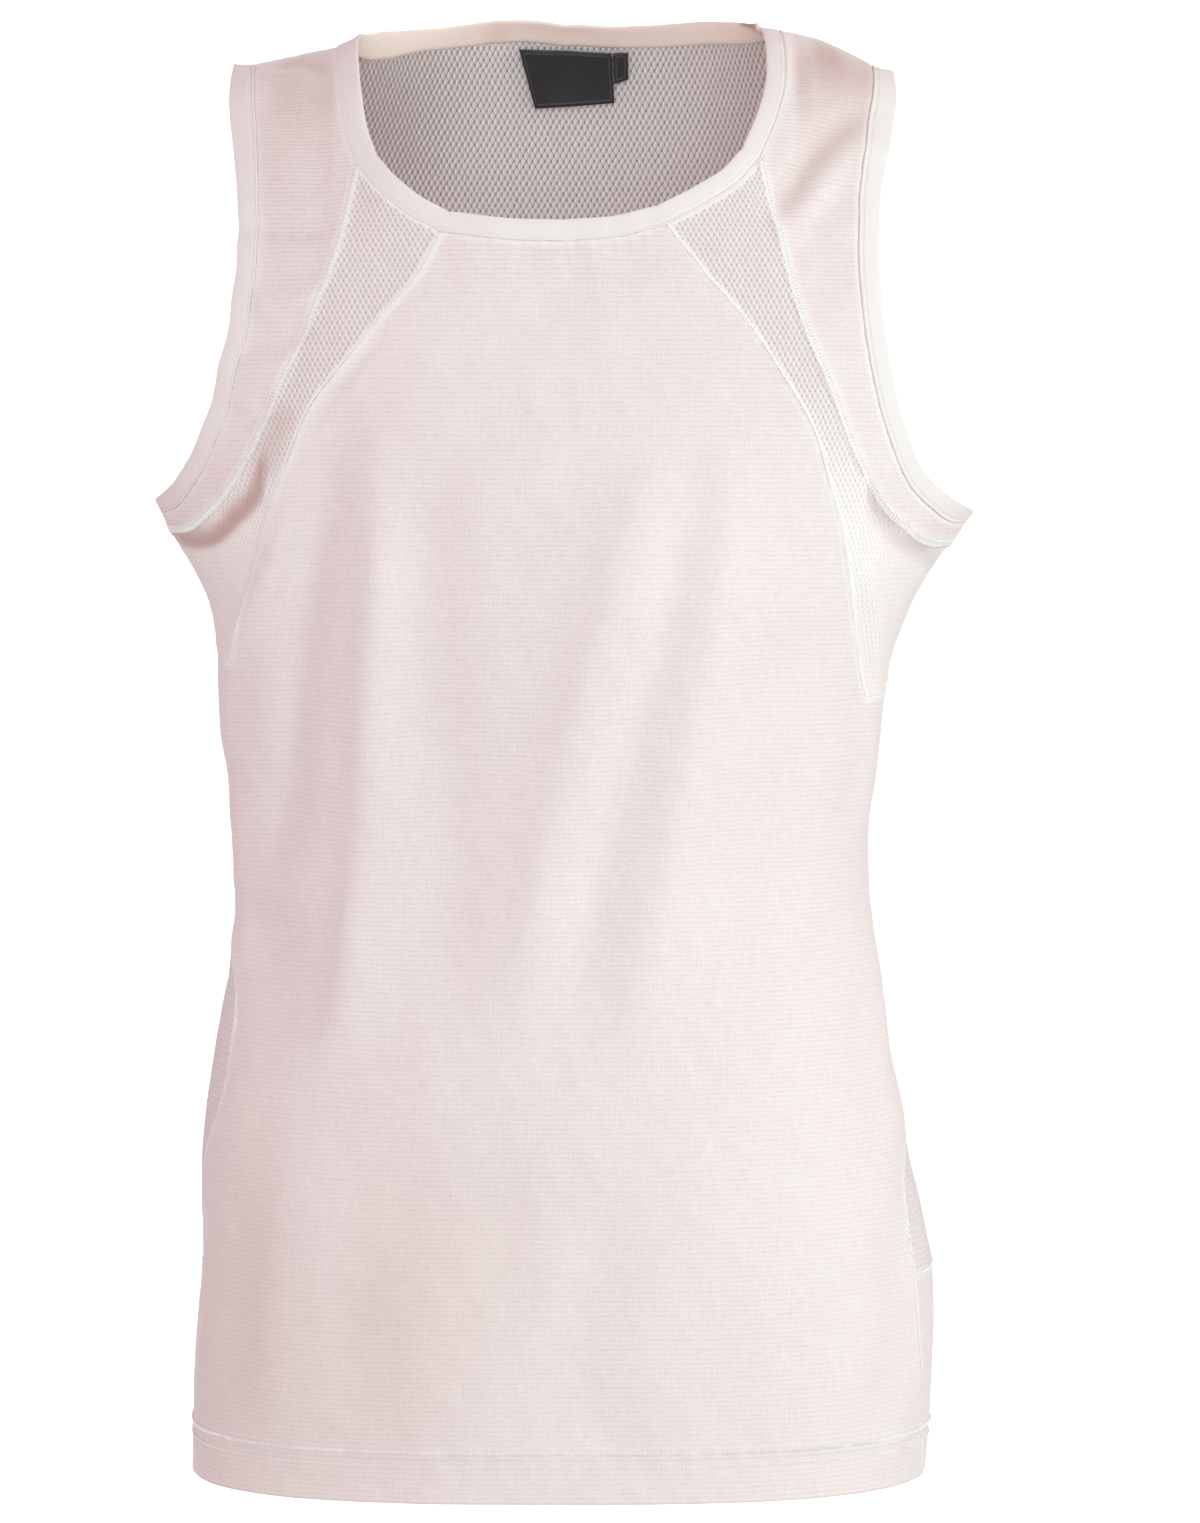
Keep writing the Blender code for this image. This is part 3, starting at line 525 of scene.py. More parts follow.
class Lay:
    """Lengths along the cloth: how far round from a centre line, and how far up."""

    def __init__(self, form: Form) -> None:
        """Sums the lengths of short steps round the unfolded surface, and up over the shoulders.

        The angles run from beyond the right side, by the front and the left, past the centre back.
        """
        self.form = form
        self.angles = np.linspace(-2.4, 5.6, 481)
        self.rises = np.linspace(0, form.cap_start + form.cap_travel, 63)
        rise, angle = np.meshgrid(self.rises, self.angles, indexing="ij")
        points = form.smooth(angle, rise)
        steps = np.linalg.norm(np.diff(points, axis=1), axis=-1)
        self.run = np.concatenate([np.zeros((len(self.rises), 1)), np.cumsum(steps, axis=1)], axis=1)
        ups = np.linalg.norm(np.diff(points, axis=0), axis=-1)
        ups = np.where(rise[1:] <= form.cap_start, np.diff(rise, axis=0), ups)
        self.climb = np.concatenate([np.zeros((1, len(self.angles))), np.cumsum(ups, axis=0)])

    def read(self, table: Array, angle: Array, rise: Array) -> Array:
        """Length at each place, between the four nearest sums of a table."""
        i = np.interp(rise, self.rises, np.arange(len(self.rises)))
        j = np.interp(angle, self.angles, np.arange(len(self.angles)))
        i0 = np.minimum(i.astype(int), len(self.rises) - 2)
        j0 = np.minimum(j.astype(int), len(self.angles) - 2)
        di, dj = i - i0, j - j0
        low = table[i0, j0] * (1 - dj) + table[i0, j0 + 1] * dj
        high = table[i0 + 1, j0] * (1 - dj) + table[i0 + 1, j0 + 1] * dj
        return low * (1 - di) + high * di

    def of(self, places: Array, centre: float) -> Array:
        """(across, up) lengths of places from the centre line at the angle `centre`.

        Behind the neck opening the rows lie level: there the length up is the height itself.
        """
        angle, rise = places[..., 0], places[..., 1]
        start = self.read(self.run, np.full_like(angle, centre), rise)
        across = self.read(self.run, angle, rise) - start
        points = self.form.smooth(angle, rise)
        behind = soft_step(0.0, 0.2, -np.cos(angle))
        level = behind * (1 - soft_step(95, 125, np.abs(points[..., 0])))
        up = self.read(self.climb, angle, rise)
        return np.stack([across, up + level * (points[..., 2] - up)], axis=-1)


# ---------------------------------------------------------------- lines and grids of places
def run_along(line: Array) -> Array:
    """Distance run along a line of places, with angles taken at the garment's mean radius."""
    steps = np.diff(line, axis=0) * np.array([MEAN_RADIUS, 1.0])
    return np.concatenate([[0], np.cumsum(np.linalg.norm(steps, axis=1))])


def spread(knots: Array, count: int) -> Array:
    """`count` equal steps along a smooth line through knots."""
    run = run_along(knots)
    at = np.linspace(0, run[-1], count + 1)
    return np.stack([flow(run, knots[:, 0], at), flow(run, knots[:, 1], at)], axis=-1)


def straight(start: Array, end: Array, count: int) -> Array:
    """Places at equal steps from one to another."""
    s = np.linspace(0, 1, count + 1)[:, None]
    return (1 - s) * start + s * end


def join(*lines: Array) -> Array:
    """Lines end to end, without the repeated places."""
    return np.concatenate([lines[0]] + [line[1:] for line in lines[1:]])


def turned(line: Array) -> Array:
    """Places counted on through the centre back, so that the back is one run of angles."""
    return np.stack([np.where(line[:, 0] < 0, line[:, 0] + TURN, line[:, 0]), line[:, 1]], axis=-1)


def patch(bottom: Array, top: Array, first: Array, last: Array, hold: float = 1) -> Array:
    """Grid of places between two side lines, bent to its bottom and top lines.

    Each row is a straight line between the sides, plus the bend of the bottom line times
    (1 - v)^hold and that of the top line times v^hold, with v the run up the sides.

    Args:
        bottom: the lowest row.
        top: the highest row.
        first: the line at the start of the rows, from the bottom up.
        last: the line at their end.
        hold: how soon the bends die away inwards.

    Returns:
        The grid, rows first.
    """
    u = np.linspace(0, 1, len(bottom))[None, :, None]
    run = run_along(first) / run_along(first)[-1] + run_along(last) / run_along(last)[-1]
    v = run[:, None, None] / 2
    ruled = (1 - u) * first[:, None] + u * last[:, None]
    bottom_bend = bottom[None] - ruled[:1]
    top_bend = top[None] - ruled[-1:]
    return ruled + (1 - v) ** hold * bottom_bend + v**hold * top_bend


def edged(grid: Array, shares: tuple[float, ...] = (0.2, 0.5)) -> Array:
    """Grid with more rows and columns in its outermost steps, where the cloth rolls into a seam."""
    for _ in range(2):
        low = [grid[:1] + s * (grid[1:2] - grid[:1]) for s in shares]
        high = [grid[-1:] + s * (grid[-2:-1] - grid[-1:]) for s in shares[::-1]]
        grid = np.concatenate([grid[:1], *low, grid[1:-1], *high, grid[-1:]])
        grid = grid.swapaxes(0, 1)
    return grid


def quads_of(rows: int, columns: int, closed: bool = False, wrapped: bool = False) -> Array:
    """Corner numbers of a grid's faces.

    Args:
        rows: number of rows of points.
        columns: number of points in a row.
        closed: whether the last row joins the first.
        wrapped: whether each row's end joins its start.

    Returns:
        Four corner numbers for each face, turning from the row's way to the column's way.
    """
    numbers = np.arange(rows * columns).reshape(rows, columns)
    if closed:
        numbers = np.concatenate([numbers, numbers[:1]], axis=0)
    if wrapped:
        numbers = np.concatenate([numbers, numbers[:, :1]], axis=1)
    corners = [numbers[:-1, :-1], numbers[:-1, 1:], numbers[1:, 1:], numbers[1:, :-1]]
    return np.stack(corners, axis=-1).reshape(-1, 4)


def weld(grids: list[Array]) -> tuple[Array, Array]:
    """Grids of places joined where they share places.

    Args:
        grids: grids of places.

    Returns:
        The places and the corner numbers of the faces.
    """
    places = np.concatenate([grid.reshape(-1, 2) for grid in grids])
    starts = np.cumsum([0] + [grid.shape[0] * grid.shape[1] for grid in grids[:-1]])
    quads = np.concatenate([quads_of(*g.shape[:2]) + start for g, start in zip(grids, starts)])
    _, first, which = np.unique(np.round(places, 5), axis=0, return_index=True, return_inverse=True)
    return places[first], which.ravel()[quads]


def rim_of(quads: Array) -> Array:
    """Edges that only one face has, in that face's direction."""
    edges = np.concatenate([quads[:, [i, (i + 1) % 4]] for i in range(4)])
    _, which, times = np.unique(np.sort(edges, axis=1), axis=0, return_inverse=True, return_counts=True)
    return edges[times[which.ravel()] == 1]


def towards_rim(points: Array, outward: Array, rim: Array) -> Array:
    """Inward directions at the rim's points, square to the edges and mitred; zero elsewhere."""
    way = unit(np.cross(outward[rim[:, 0]] + outward[rim[:, 1]], points[rim[:, 1]] - points[rim[:, 0]]))
    total = np.zeros_like(points)
    np.add.at(total, rim[:, 0], way / 2)
    np.add.at(total, rim[:, 1], way / 2)
    length = (total**2).sum(axis=1, keepdims=True)
    return np.where(length > 0, total / np.maximum(length, 0.35), 0)


def distance_to(points: Array, line: Array, block: int = 4096) -> tuple[Array, Array]:
    """Distance from each point to a line of points, and the run along the line at the nearest place.

    The nearest sample is found first, then the foot on the two steps beside it.

    Args:
        points: points.
        line: the line's samples.
        block: how many points are measured at once.

    Returns:
        The distances and the runs.
    """
    run = run_of(line)
    nearest = np.concatenate([
        ((points[i:i + block, None] - line[None]) ** 2).sum(-1).argmin(1)
        for i in range(0, len(points), block)
    ])
    best = np.full(len(points), np.inf)
    where = np.zeros(len(points))
    for start in (np.maximum(nearest - 1, 0), np.minimum(nearest, len(line) - 2)):
        a, b = line[start], line[start + 1]
        share = ((points - a) * (b - a)).sum(-1) / np.maximum(((b - a) ** 2).sum(-1), 1e-12)
        share = np.clip(share, 0, 1)
        gap = np.linalg.norm(points - a - (b - a) * share[:, None], axis=-1)
        where = np.where(gap < best, run[start] + share * (run[start + 1] - run[start]), where)
        best = np.minimum(best, gap)
    return best, where


# ---------------------------------------------------------------- shader building
class Wire:
    """A shader socket that takes part in sums; each operation adds a Math node."""

    def __init__(self, tree: bpy.types.NodeTree, socket: bpy.types.NodeSocket) -> None:
        """Wraps one output socket."""
        self.tree = tree
        self.socket = socket

    def math(self, operation: str, *others: "Wire | float", first: bool = True) -> "Wire":
        """One Math node.

        Args:
            operation: the node's operation.
            others: the other values.
            first: whether this wire is the first value or the second.

        Returns:
            The node's result.
        """
        node = self.tree.nodes.new("ShaderNodeMath")
        node.operation = operation
        values = [self, *others] if first else [*others, self]
        for place, value in zip(node.inputs, values):
            if isinstance(value, Wire):
                self.tree.links.new(value.socket, place)
            else:
                place.default_value = value
        return Wire(self.tree, node.outputs[0])

    def __add__(self, other: "Wire | float") -> "Wire":
        """Sum."""
        return self.math("ADD", other)

    __radd__ = __add__

    def __mul__(self, other: "Wire | float") -> "Wire":
        """Product."""
        return self.math("MULTIPLY", other)

    __rmul__ = __mul__

    def __sub__(self, other: "Wire | float") -> "Wire":
        """Difference."""
        return self.math("SUBTRACT", other)

    def __rsub__(self, other: float) -> "Wire":
        """Difference from a number."""
        return self.math("SUBTRACT", other, first=False)

    def __pow__(self, other: float) -> "Wire":
        """Power."""
        return self.math("POWER", other)

    def sine(self) -> "Wire":
        """Sine."""
        return self.math("SINE")

    def cosine(self) -> "Wire":
        """Cosine."""
        return self.math("COSINE")

    def wave(self, pitch: float) -> "Wire":
        """Cosine wave from 0 to 1, with its crests a pitch apart."""
        return (self * (TURN / pitch)).cosine() * 0.5 + 0.5

    def step(self, low: float, high: float) -> "Wire":
        """Smooth step: 0 up to low and 1 from high on, or the other way round."""
        node = self.tree.nodes.new("ShaderNodeMapRange")
        node.interpolation_type = "SMOOTHSTEP"
        self.tree.links.new(self.socket, node.inputs["Value"])
        node.inputs["From Min"].default_value = min(low, high)
        node.inputs["From Max"].default_value = max(low, high)
        node.inputs["To Min"].default_value = 0.0 if low < high else 1.0
        node.inputs["To Max"].default_value = 1.0 if low < high else 0.0
        return Wire(self.tree, node.outputs["Result"])


class Dye:
    """One material being built, with its Principled shader."""

    def __init__(self, name: str) -> None:
        """Starts a material with an empty Principled shader."""
        self.material = bpy.data.materials.new(name)
        self.material.use_nodes = True
        self.tree = self.material.node_tree
        self.shader = self.tree.nodes["Principled BSDF"]

    def node(self, kind: str, settings: dict, values: dict, output: int | str = 0) -> Wire:
        """Any node.

        Args:
            kind: the node's type.
            settings: its properties, set first.
            values: values or links of its sockets, by name or number.
            output: name or number of the output wanted.

        Returns:
            That output.
        """
        node = self.tree.nodes.new(kind)
        for name, value in settings.items():
            setattr(node, name, value)
        for name, value in values.items():
            if isinstance(value, Wire):
                self.tree.links.new(value.socket, node.inputs[name])
            elif isinstance(value, tuple) and node.inputs[name].type == "RGBA":
                node.inputs[name].default_value = (*value, 1.0)
            else:
                node.inputs[name].default_value = value
        return Wire(self.tree, node.outputs[output])

    def attribute(self, name: str) -> tuple[Wire, Wire, Wire, Wire]:
        """A vector attribute of the mesh: the vector and its three parts."""
        vector = self.node("ShaderNodeAttribute", {"attribute_name": name}, {}, "Vector")
        parts = [self.node("ShaderNodeSeparateXYZ", {}, {0: vector}, i) for i in range(3)]
        return vector, *parts

    def number(self, name: str) -> Wire:
        """A number attribute of the mesh."""
        return self.node("ShaderNodeAttribute", {"attribute_name": name}, {}, "Fac")

    def noise(self, vector: Wire, scale: float, detail: float = 2.0) -> Wire:
        """Cloudy noise from 0 to 1."""
        values = {"Vector": vector, "Scale": scale, "Detail": detail, "Roughness": 0.5}
        return self.node("ShaderNodeTexNoise", {}, values, 0)

    def cloud(self, lay: Wire, across: float, up: float, detail: float = 2.0) -> Wire:
        """Noise over the cloth's own lengths, with so many clouds a millimetre across and up."""
        values = {0: lay, 1: (across, up, 0.0)}
        scaled = self.node("ShaderNodeVectorMath", {"operation": "MULTIPLY"}, values, 0)
        return self.noise(scaled, 1.0, detail)

    def mixed(self, share: Wire, none: "Colour | Wire", full: "Colour | Wire") -> Wire:
        """Colour between two, by a share."""
        return self.node("ShaderNodeMix", {"data_type": "RGBA"}, {0: share, 6: none, 7: full}, 2)

    def link(self, socket: str, value: Wire) -> None:
        """Feeds one of the shader's sockets."""
        self.tree.links.new(value.socket, self.shader.inputs[socket])

    def bumped(self, height: Wire, strength: float = 1.0) -> None:
        """Bump from a height in millimetres."""
        values = {"Height": height, "Distance": MM, "Strength": strength}
        self.link("Normal", self.node("ShaderNodeBump", {}, values, 0))

    def constants(self, **values: float) -> None:
        """Numbers that are the same all over, set on the shader's own sockets."""
        for name, value in values.items():
            socket = name.replace("_", " ").title().replace("Ior", "IOR")
            self.shader.inputs[socket].default_value = value


@dataclass(frozen=True)
class ShellKnit:
    """Fine jersey with cross ribs about 2 mm apart and a faint upright grain."""

    light: Colour = (0.92, 0.835, 0.82)
    furrow: Colour = (0.72, 0.60, 0.59)
    bleached: Colour = (0.97, 0.935, 0.925)
    # painted shade of deep folds and hollows
    painted_shade_colour: Colour = (0.52, 0.30, 0.25)
    # painted shade along the hem's lowest edge
    edge: Colour = (0.70, 0.46, 0.44)
    rib: float = 1.95
    grain: float = 1.24
    furrowed: float = 0.36      # how far the furrows, the grain, the yarn and the streaks shade it
    grained: float = 0.10
    mottled: float = 0.62
    streaked: float = 0.36
    deeper: tuple[float, float] = (470.0, 540.0)   # heights between which the furrows deepen

    def build(self, name: str) -> Finish:
        """The material; the ribs follow the cloth's own lengths.

        It is paler over a seam's turnings, takes painted shade where a fold carries it, and has painted
        shade at the very foot.
        """
        dye = Dye(name)
        lay, u, v, rim = dye.attribute("cloth")
        drift = dye.cloud(lay, 0.02, 0.05) * 3.0
        uneven = dye.cloud(lay, 0.22, 0.50)
        broad = dye.cloud(lay, 0.012, 0.012)
        yarn = dye.cloud(lay, 1.1, 1.3, 1.0)
        streak = dye.cloud(lay, 0.85, 0.12, 1.0)
        ribs = (v * (TURN / self.rib) + drift).cosine() * 0.5 + 0.5
        grain = u.wave(self.grain)
        depth = uneven.step(0.25, 0.75) * 0.6 + broad * 0.5
        furrow = (1 - ribs) ** 1.4 * depth * (v.step(*self.deeper) * 0.7 + 1)
        shade = furrow * self.furrowed + (1 - grain) * self.grained + (yarn - 0.5) * self.mottled
        shade = shade + (streak - 0.5) * self.streaked
        cloth = dye.mixed(shade + 0.12, self.light, self.furrow)
        cloth = dye.mixed(rim.step(3.4, 1.2) * 0.45, cloth, self.bleached)
        # painted shade in the folds' hollows
        cloth = dye.mixed(dye.number("tint"), cloth, self.painted_shade_colour)
        # painted shade on the lowest millimetre, the hem's edge
        dye.link("Base Color", dye.mixed(v.step(0.9, 0.1) * 0.7, cloth, self.edge))
        dye.link("Roughness", uneven * 0.12 + 0.68)
        dye.bumped(ribs * depth * 0.07 + grain * 0.02 + streak * 0.05 + yarn * 0.05)
        dye.constants(sheen_weight=0.55, sheen_roughness=0.45, specular_ior_level=0.25)
        return dye.material


@dataclass(frozen=True)
class EyeletMesh:
    """Knitted mesh: slanting lozenges of yarn in staggered rows, with a small eyelet where four meet."""

    light: Colour = (0.97, 0.925, 0.915)
    plain: Colour = (0.935, 0.87, 0.855)    # where the eyelets are closed
    shade: Colour = (0.80, 0.70, 0.69)
    # the eyelets are painted dark: painted shade of the inside seen through them, as they are no real
    # holes
    hole: Colour = (0.55, 0.44, 0.43)
    # the inner face's colours; its shade and eyelets are painted darker, painted shade of the garment's
    # inside
    inner_light: Colour = (0.99, 0.93, 0.92)
    inner_shade: Colour = (0.565, 0.46, 0.455)
    inner_hole: Colour = (0.30, 0.20, 0.195)
    bleached: Colour = (0.97, 0.94, 0.93)
    # painted shade of deep folds and hollows
    painted_shade_colour: Colour = (0.52, 0.30, 0.25)
    pitch: float = 2.36
    row: float = 2.15
    tilt: float = -0.30         # how far the lozenges slant, as a phase
    ground: float = 0.78        # share of the shade, on average
    contrast: float = 0.66      # how far the lozenges stand out from the lines between them
    slant: float = 0.7          # how much brighter one flank of a lozenge is than the other
    relief: float = 0.16
    closed: tuple[float, float] = (385.0, 465.0)    # the eyelets close between these heights
    pressed: tuple[float, float] = (555.0, 590.0)   # outside, they flatten between these
    flat: float = 0.65                              # how flat they get
    shaded: tuple[float, float] = (0.0, 0.0)        # where across the cloth it darkens, if anywhere
    shaded_up: tuple[float, float] = (505.0, 590.0)
    shadow: float = 0.45        # how much darker it is there
    stark: float = 0.6          # how much starker the lozenges are there

    def build(self, name: str) -> Finish:
        """The material; its inner face is painted darker: painted shade of the garment's inside.

        Half the sum of a cosine across and one up, at twice the row's height, is nought along lines
        that cross as lozenges; its square is the yarn's swell. The eyelets are the crossings, where
        the product of the two cosines is -1.
        """
        dye = Dye(name)
        lay, u, v, rim = dye.attribute("cloth")
        inside = dye.number("inside")
        wander = (dye.cloud(lay, 0.10, 0.10) - 0.5) * 1.4
        up = (v + wander) * (np.pi / self.row)
        across = (u + wander) * (TURN / self.pitch) - (up * 2).sine() * self.tilt
        mean = (across.cosine() + up.cosine()) * 0.5
        uneven = dye.cloud(lay, 0.35, 0.35, 1.0)
        opened = v.step(*self.closed) * 0.60 + 0.40
        clear = rim.step(0.6, 1.9) * (1 - inside) + inside
        pressed = v.step(*self.pressed) * (1 - inside) * self.flat
        edge = clear * opened * (uneven * 0.8 + 0.6) * (1 - pressed)
        hole = (across.cosine() * up.cosine() * -1.0).step(0.62, 0.98) * edge
        lozenge = (mean * mean).step(0.0, 0.24) * (across.sine() * mean * self.slant + 1)
        yarn = dye.cloud(lay, 2.0, 2.6, 1.0)
        strands = (lozenge - 0.55) * edge * self.contrast
        ground = clear * (opened * 1.5 - 0.5) * self.ground
        if self.shaded[1] > self.shaded[0]:
            side = u.step(*self.shaded) * v.step(*self.shaded_up) * inside
            ground, strands = ground + side * self.shadow, strands * (side * self.stark + 1)
        tone = ground + (yarn - 0.5) * 0.4 - strands
        light = dye.mixed(v.step(320.0, 430.0), self.plain, self.light)
        light = dye.mixed(inside, light, self.inner_light)
        # on the inner face the shade colour is painted darker: painted shade of the garment's inside
        cloth = dye.mixed(tone, light, dye.mixed(inside, self.shade, self.inner_shade))
        cloth = dye.mixed(rim.step(3.0, 1.0) * (1 - inside) * 0.45, cloth, self.bleached)
        # painted shade in the folds' hollows
        cloth = dye.mixed(dye.number("tint"), cloth, self.painted_shade_colour)
        # dark eyelets: painted shade seen through them, darker still on the inner face
        dye.link("Base Color", dye.mixed(hole, cloth, dye.mixed(inside, self.hole, self.inner_hole)))
        dye.link("Roughness", hole * 0.15 + 0.72)
        dye.bumped((1 - hole) * self.relief + strands * self.relief + yarn * 0.05)
        dye.constants(sheen_weight=0.45, sheen_roughness=0.45, specular_ior_level=0.2)
        return dye.material


@dataclass(frozen=True)
class BindingKnit:
    """Smooth folded strip with a very fine upright grain; its inner face is a warmer tone."""

    light: Colour = (0.90, 0.845, 0.825)
    shade: Colour = (0.76, 0.66, 0.64)
    lining: Colour = (0.97, 0.80, 0.72)
    # painted shadow of the creases in the lining
    painted_crease_shade: Colour = (0.50, 0.27, 0.12)
    grain: float = 0.62

    def build(self, name: str) -> Finish:
        """The material; the third part of the attribute is 1 on the inner face."""
        dye = Dye(name)
        lay, u, _, inside = dye.attribute("cloth")
        grain = u.wave(self.grain)
        yarn = dye.cloud(lay, 1.8, 2.4, 1.0)
        cloud = dye.cloud(lay, 0.05, 0.2)
        tone = (1 - grain) * 0.12 + (yarn - 0.5) * 0.22 + (cloud - 0.5) * 0.2
        outer = dye.mixed(tone, self.light, self.shade)
        lining = dye.mixed(inside, outer, self.lining)
        # painted shadows of the lining's creases
        dye.link("Base Color", dye.mixed(dye.number("tint"), lining, self.painted_crease_shade))
        dye.link("Roughness", cloud * 0.1 + 0.62)
        dye.bumped(grain * 0.02 + yarn * 0.035)
        dye.constants(sheen_weight=0.25, sheen_roughness=0.4, specular_ior_level=0.3)
        return dye.material


@dataclass(frozen=True)
class Thread:
    """Polyester sewing thread with a fine twist."""

    light: Colour = (0.99, 0.97, 0.965)
    shade: Colour = (0.93, 0.89, 0.88)

    def build(self, name: str) -> Finish:
        """The material, on object coordinates."""
        dye = Dye(name)
        place = dye.node("ShaderNodeTexCoord", {}, {}, "Object")
        twist = dye.noise(place, 2600.0, 1.0)
        dye.link("Base Color", dye.mixed(twist, self.light, self.shade))
        dye.link("Roughness", twist * 0.2 + 0.42)
        dye.bumped(twist * 0.05)
        dye.constants(sheen_weight=0.15, specular_ior_level=0.4)
        return dye.material


@dataclass(frozen=True)
class LabelSatin:
    """Black woven satin with a fine slant and a plain woven border."""

    ground: Colour = (0.010, 0.010, 0.012)
    raised: Colour = (0.035, 0.035, 0.042)
    border: Colour = (0.10, 0.10, 0.11)

    def build(self, name: str) -> Finish:
        """The material; the third part of the attribute is the distance to the label's edge."""
        dye = Dye(name)
        lay, u, v, rim = dye.attribute("cloth")
        slant = (u + v * 0.5).wave(0.42)
        yarn = dye.cloud(lay, 3.0, 9.0, 1.0)
        ground = dye.mixed(slant * 0.5 + yarn * 0.5, self.ground, self.raised)
        line = rim.step(0.9, 1.15) * rim.step(1.65, 1.4)
        dye.link("Base Color", dye.mixed(line * 0.6, ground, self.border))
        dye.link("Roughness", yarn * 0.2 + 0.34)
        dye.bumped(slant * 0.02 + yarn * 0.03 + line * 0.05)
        dye.constants(sheen_weight=0.1, specular_ior_level=0.5)
        return dye.material


# ---------------------------------------------------------------- meshes
class Finishes:
    """The materials, each built once."""

    def __init__(self) -> None:
        """Builds every finish."""
        self.shell = ShellKnit().build("shell_knit")
        self.mesh = EyeletMesh().build("eyelet_mesh")
        self.open_mesh = EyeletMesh(
            pitch=2.72, row=2.40, ground=0.48, contrast=0.56, relief=0.2, closed=(-20.0, -10.0),
            shaded=(30.0, 86.0),
        ).build("open_eyelet_mesh")
        self.binding = BindingKnit().build("binding_knit")
        self.thread = Thread().build("sewing_thread")
        self.label = LabelSatin().build("label_satin")


def make_piece(
    name: str, points: Array, faces: list, material: Finish, cloth: Array | None = None,
    **numbers: Array,
) -> Piece:
    """Smooth mesh object in metres, with its place in its mesh.

    Args:
        name: the piece's name.
        points: points over the hem, in millimetres.
        faces: corner numbers of the faces.
        material: its finish.
        cloth: a vector for each point, kept as the attribute "cloth".
        numbers: more numbers for each point, kept as attributes of their own names.

    Returns:
        The object.
    """
    world = (points - np.array([0, Form.ridge_depth, SHOULDER_TOP])) * MM
    mesh = bpy.data.meshes.new(name)
    mesh.from_pydata(world.tolist(), [], faces)
    mesh.shade_smooth()
    if cloth is not None:
        attribute = mesh.attributes.new("cloth", "FLOAT_VECTOR", "POINT")
        attribute.data.foreach_set("vector", cloth.astype(np.float32).ravel())
    for key, values in numbers.items():
        attribute = mesh.attributes.new(key, "FLOAT", "POINT")
        attribute.data.foreach_set("value", values.astype(np.float32))
    mesh.materials.append(material)
    piece = bpy.data.objects.new(name, mesh)
    bpy.context.collection.objects.link(piece)
    LOG.info("%s: %d points, %d faces", name, len(points), len(faces))
    return piece


def dress(piece: Piece, node: str | None = None) -> Piece:
    """Fixes a piece to the body, and hides the CAD node that it stands for."""
    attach(piece, "root")
    if node is not None:
        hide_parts(node)
    return piece


def walled(
    outer: Array, inner: Array, quads: Array, rim: Array, inwards: Array, swell: float
) -> tuple[Array, list, Array]:
    """Closed wall: an outer face, an inner face, and a row of points between that rounds the edge.

    Args:
        outer: points of the outer face.
        inner: points of the inner face, in the same order.
        quads: corner numbers of the outer face.
        rim: the edges of its rim.
        inwards: inward directions at the rim's points, zero elsewhere.
        swell: how far the row between stands out.

    Returns:
        The points, the faces, and the numbers of the points on the rim.
    """
    total = len(outer)
    on_rim, between = np.unique(rim), np.zeros(total, int)
    between[on_rim] = np.arange(len(on_rim)) + 2 * total
    middle = (outer + inner)[on_rim] / 2 - inwards[on_rim] * swell
    start, end = rim[:, 0], rim[:, 1]
    upper = np.stack([end, start, between[start], between[end]], axis=-1)
    lower = np.stack([between[end], between[start], start + total, end + total], axis=-1)
    faces = np.concatenate([quads, quads[:, ::-1] + total, upper, lower]).tolist()
    return np.concatenate([outer, inner, middle]), faces, on_rim


